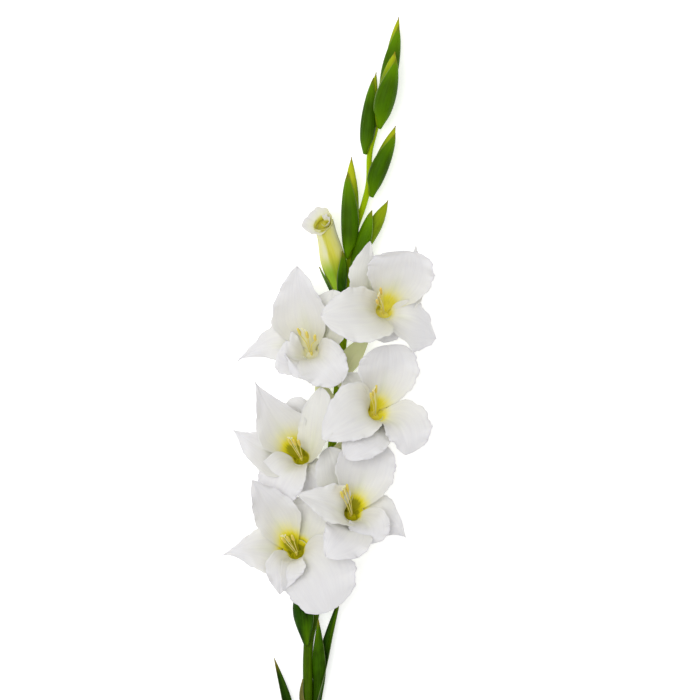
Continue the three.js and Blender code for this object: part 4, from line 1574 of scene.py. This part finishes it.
# A floret's values are, in this order: name, node, side, mouth, the way it faces, its
# lobes and the middle of its anthers. A lobe's are: at, tip, half, rise, arch, cup,
# point, wave, phase, peak and skew.
FLORETS = (
    Floret(
        "floret_1", 394, 1, (62, 455, 22), (0.2, 0.3, 0.93),
        (
            Lobe(62, (80, 503, 48), 28, 30, 4, 0.2, 0.1, 1.8, 0, 0.46, -0.02),
            Lobe(140, (51.2, 511, 40), 18, 30, 3, 0.4, 0.9, 1.4, 2, 0.28, -0.4),
            Lobe(200, (12, 451, 59), 26, 30, 8, 0.2, 0.45, 2, 1, 0.45, -0.3),
            Lobe(265, (62, 430, 36), 15, 20, 3, 0.1, 0.3, 1.5, 3),
            Lobe(326, (105, 433, 1.3), 24, 25, 12, 0, 0.9, 1.4, 4, 0.5, 0.3),
            Lobe(18, (88, 508, 40), 20, 28, 2, 0.2, 1.5, 1.2, 5, 0.38, -0.3),
        ),
        (58.5, 466.5, 48), throat=0.56, ripe=0.3, fan=1.3,
    ),
    Floret(
        "floret_2", 357, -1, (4, 422, 21), (-0.2, 0.28, 0.93),
        (
            Lobe(97, (-7.2, 491, 48), 26, 32, 4, 0.25, 0.9, 1.5, 1, 0.36, -0.12),
            Lobe(165, (-56, 415, 0.8), 20, 26, 8, 0.2, 1.6, 1.2, 2, 0.33, 0.2),
            Lobe(215, (-23, 421, 30), 19, 19, 3, 0, 0.35, 1.2, 3),
            Lobe(275, (-12, 404.8, 42), 16, 24, 6, 0.1, 0.4, 2.5, 0, 0.48, 0.25),
            Lobe(328, (28, 398, 48), 20, 26, 6, 0.1, 0.2, 2.5, 2, 0.48, 0.1),
            Lobe(35, (22.4, 472, 34), 22, 28, 4, 0.2, 0.4, 1, 4),
        ),
        (1, 436, 46), throat=0.22, fan=1.9,
    ),
    Floret(
        "floret_3", 318, 1, (55, 373, 22), (0.36, 0.28, 0.89),
        (
            Lobe(76, (66, 428, 40), 26, 30, 4, 0.25, 0.05, 1.5, 2, 0.5, -0.05),
            Lobe(150, (30, 405, 33), 16, 25, 2, 0.6, 0.5, 1, 1),
            Lobe(205, (13, 353, 55), 24, 29, 7, 0.15, 0.6, 1.5, 3, 0.48, 0.3),
            Lobe(270, (31.2, 338.4, 50), 20, 27, 6, 0.1, 0.3, 2.5, 0, 0.48, 0.25),
            Lobe(322, (80, 340, 40), 20, 25, 6, 0.1, 0.4, 2.2, 5, 0.42, -0.3),
            Lobe(346, (95, 352, 26), 17, 24, 6, 0.15, 1.3, 1.5, 4, 0.4, 0.1),
        ),
        (54, 390, 48), throat=0.66,
    ),
    Floret(
        "floret_4", 278, -1, (-4, 337, 21), (-0.2, 0.34, 0.91),
        (
            Lobe(130, (-40.8, 399.2, 50), 25, 32, 5, 0.25, 1.9, 1, 3, 0.38),
            Lobe(190, (-59.2, 360, 26), 25, 28, 8, 0.15, 1.6, 1.5, 1, 0.32),
            Lobe(245, (-27, 299, 33), 22, 24, 3, 0.1, 0.5, 2, 0),
            Lobe(305, (9, 303, 28), 18, 21, 2, 0.1, 0.5, 2, 2),
            Lobe(10, (12, 394, 38), 18, 27, 4, 0.5, 0.5, 1.2, 4, 0.48, 0.2),
            Lobe(75, (-13.6, 384, 30), 20, 28, 3, 0.25, 0.3, 1, 5, 0.48, -0.3),
        ),
        (-9, 350, 45), throat=1.0,
    ),
    Floret(
        "floret_5", 234, 1, (36, 292, 22), (0.28, 0.32, 0.9),
        (
            Lobe(74, (57, 352, 30), 26, 27, 3, 0.3, 0.2, 1.5, 5, 0.48, -0.1),
            Lobe(132, (18, 346, 38), 20, 29, 2, 0.3, 0.4, 1, 0),
            Lobe(200, (-6.4, 308.8, 57), 20, 30, 7, 0.2, 0.8, 1.5, 2, 0.4),
            Lobe(262, (16, 260, 60), 21, 28, 7, 0.1, 0.5, 2, 1),
            Lobe(312, (50, 269, 42), 18, 23, 4, 0.1, 0.5, 2.2, 3),
            Lobe(355, (80, 273, 24), 23, 20, 6, 0.1, 1.4, 1.2, 4, 0.42, 0.1),
        ),
        (31, 311, 46), throat=1.0,
    ),
    Floret(
        "floret_6", 186, -1, (-8, 261, 22), (-0.2, 0.34, 0.91),
        (
            Lobe(125, (-42.4, 320.8, 56), 20, 32, 4, 0.3, 0.9, 1.5, 4, 0.42, 0.15),
            Lobe(180, (-68, 258.4, 30), 27, 30, 8, 0.15, 2, 1, 2, 0.27, -0.1),
            Lobe(238, (-20.8, 228.8, 42), 18, 24, 4, 0.12, 0.9, 1.5, 0, 0.48, -0.2),
            Lobe(280, (-8, 233, 30), 15, 18, 1, 0.1, 0.5, 1.5, 1),
            Lobe(316, (17, 214, 38), 31, 23, 3, 0, 0.05, 2, 3, 0.5, -0.25),
            Lobe(62, (7, 305, 29), 25, 24, 2, 0.2, 0.3, 1, 5),
        ),
        (-14, 273, 45), throat=1.0, pale=0.0,
    ),
)

OPENING_BUD = OpeningBud(
    "opening_bud", 444, -1, (14, 525, 26), (-0.35, 0.6, 0.72), lobes=(), throat=0.72, body=10.0,
    frills=(
        Frill((-60, 310), widest=175, tallest=100, foot=6.6, flare=(2.0, 9.5), height=(1.2, 6.5)),
        Frill(
            (-150, 130), widest=60, tallest=80, foot=2.8, flare=(0.8, 2.0), height=(2.5, 7),
            aside=2.8, wave=0.6,
        ),
    ),
    clasps=(
        ("opening_bud_outer_bract", Clasp((0.8, 0, 0.5), cover=0.68, off=0.7, wrap=(1.5, 1.0))),
        (
            "opening_bud_inner_bract",
            Clasp((-0.9, 0, 0.1), cover=0.57, off=0.6, wrap=(1.0, 0.8), flare=0.2),
        ),
    ),
)

# A bud's values are, in this order: name, node, side, aside, tip, rise, thickness, cover,
# flare, pale, light, belly and bract_at.
BUDS = (
    Bud("bud_1", 482, 1, 0.7, (66, 545, 17), (1, 20, 2), 6, 0.8, 6, 0.3, 0.9, 1.25, -0.8),
    Bud("bud_2", 498, -1, 0.3, (36.5, 580, 15), (4, 20, 4), 6.2, 0.84, 0, 1.0, 0.7, 0.9),
    Bud("bud_3", 548, 1, 0.75, (72, 605, 17), (3, 20, 5), 5.8, 0.9, 0, 0.6, 0.6),
    Bud("bud_4", 582, -1, 0.65, (56.4, 649, 9), (1, 20, -2), 4.9, 0.92, 0, 0.4, 0.5),
    Bud("bud_5", 604, 1, 0.35, (71.4, 664, 26), (4, 20, 12), 7, 0.92, 0, 0.5, 0.8),
    Bud("bud_6", 624, 0, 0, (74.8, 693.6, 12), (5, 20, 0), 5.2, 0.9, 0, 0.6, 0.9),
)

# A leaf's values are, in this order: name, line, inward, half, wrap, slot, thick and light.
LEAVES = (
    Leaf(
        "leaf_blade",
        ((-4.7, 58, 8.7), (-7, 85, 8.7), (-11.5, 115, 9.5), (-17, 144, 10), (-26.4, 175.2, 10)),
        ((0.87, 0, -0.5), (0.1, 0, 0.98)), (7, 8.4), (1.25, 0.25), Slot.LEAF, 0.9, 0.1,
    ),
    Leaf(
        "sheath_leaf",
        ((-4.1, 92, 9.7), (-4, 112, 10.2), (-4.2, 132, 10.8), (-5, 146, 11.5), (-3, 158, 13)),
        ((0.87, 0, -0.5), (0.8, 0, -0.6)), (6.9, 6), (1.3, 1), Slot.DRY_LEAF, 0.6, 0.3,
    ),
    Leaf(
        "lower_outer_bract",
        ((7, 112, 8), (9, 138, 8.5), (13.5, 166, 9), (18.5, 192, 9.5), (28.4, 228, 12)),
        ((-0.95, 0, 0.3), (-0.35, 0, 0.94)), (8.5, 9), (1.5, 0.7), Slot.BRACT, 0.7, 0.0,
    ),
    Leaf(
        "lower_inner_bract",
        ((7.5, 138, 9), (8.8, 155, 11), (9.2, 172, 14), (9.6, 188, 16.5), (9.6, 207, 17)),
        ((0.4, 0, -0.9), (0.3, 0, -0.95)), (4.8, 8.3), (1.2, 0.6), Slot.BRACT, 0.7, 0.1,
    ),
)


# The studio


@dataclass(frozen=True)
class Studio:
    """A white table, soft daylight from one side and a camera straight above. Its lengths
    and places are in metres, apart from the width of the camera's film."""

    camera_at: tuple[float, float, float] = (0.0352, 0.424, 2.44)
    seen: float = 0.56  # width of the picture at the height of the petals
    petals_at: float = 0.04  # that height
    film: float = 36.0  # width of the camera's film in millimetres
    table_half: float = 4.0  # from the table's middle to its edges
    sky: float = 0.62  # strength of the white sky
    lamp_watts: float = 16.0
    lamp_size: float = 1.0  # side of the square lamp
    lamp_from: tuple[float, float, float] = (-0.5, 0.6, 1.85)
    lamp_to: tuple[float, float, float] = (0.03, 0.35, 0.03)

    def floor(self) -> None:
        """Lays the table: white board, so bright that the petals stand out from it."""
        material, _, shader = new_material("white board")
        shader.inputs["Base Color"].default_value = linear(0xF6F6F6)
        shader.inputs["Roughness"].default_value = 0.9
        shader.inputs["Emission Color"].default_value = (1, 1, 1, 1)
        shader.inputs["Emission Strength"].default_value = 0.45
        mesh = bpy.data.meshes.new("table")
        far = self.table_half
        corners = [(-far, -far, 0), (far, -far, 0), (far, far, 0), (-far, far, 0)]
        mesh.from_pydata(corners, [], [(0, 1, 2, 3)])
        mesh.materials.append(material)
        table = bpy.data.objects.new("table", mesh)
        bpy.context.scene.collection.objects.link(table)

    def light(self) -> None:
        """Sets a white sky and one large soft lamp."""
        scene = bpy.context.scene
        scene.view_settings.view_transform = "Standard"
        scene.world = bpy.data.worlds.new("sky")
        scene.world.use_nodes = True
        sky = scene.world.node_tree.nodes["Background"]
        sky.inputs[0].default_value = (1, 1, 1, 1)
        sky.inputs[1].default_value = self.sky
        lamp = bpy.data.lights.new("window", "AREA")
        lamp.size, lamp.energy = self.lamp_size, self.lamp_watts
        window = bpy.data.objects.new("window", lamp)
        window.location = self.lamp_from
        aim = Vector(self.lamp_to) - window.location
        window.rotation_euler = aim.to_track_quat("-Z", "Y").to_euler()
        scene.collection.objects.link(window)

    def camera(self) -> None:
        """Hangs the camera above the spike, looking straight down, its top to the tip."""
        lens = bpy.data.cameras.new("camera")
        camera = bpy.data.objects.new("camera", lens)
        camera.location = self.camera_at
        lens.lens = self.film * (self.camera_at[2] - self.petals_at) / self.seen
        bpy.context.scene.collection.objects.link(camera)
        bpy.context.scene.camera = camera


def main() -> None:
    """Loads the frame, then builds the studio and the spike, piece by piece."""
    logging.basicConfig(level=logging.INFO, format="%(name)s: %(message)s")
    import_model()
    studio = Studio()
    studio.floor()
    studio.light()
    studio.camera()
    palette = {slot: finish.build() for slot, finish in FINISHES.items()}
    Stem().build(palette)
    for leaf in LEAVES:
        leaf.build(palette)
    for floret in FLORETS:
        floret.build_petals(palette)
        floret.build_stamens(palette)
        floret.build_bracts(palette)
    OPENING_BUD.build_petals(palette)
    OPENING_BUD.build_bracts(palette)
    for bud in BUDS:
        bud.build(palette)


if __name__ == "__main__":
    main()
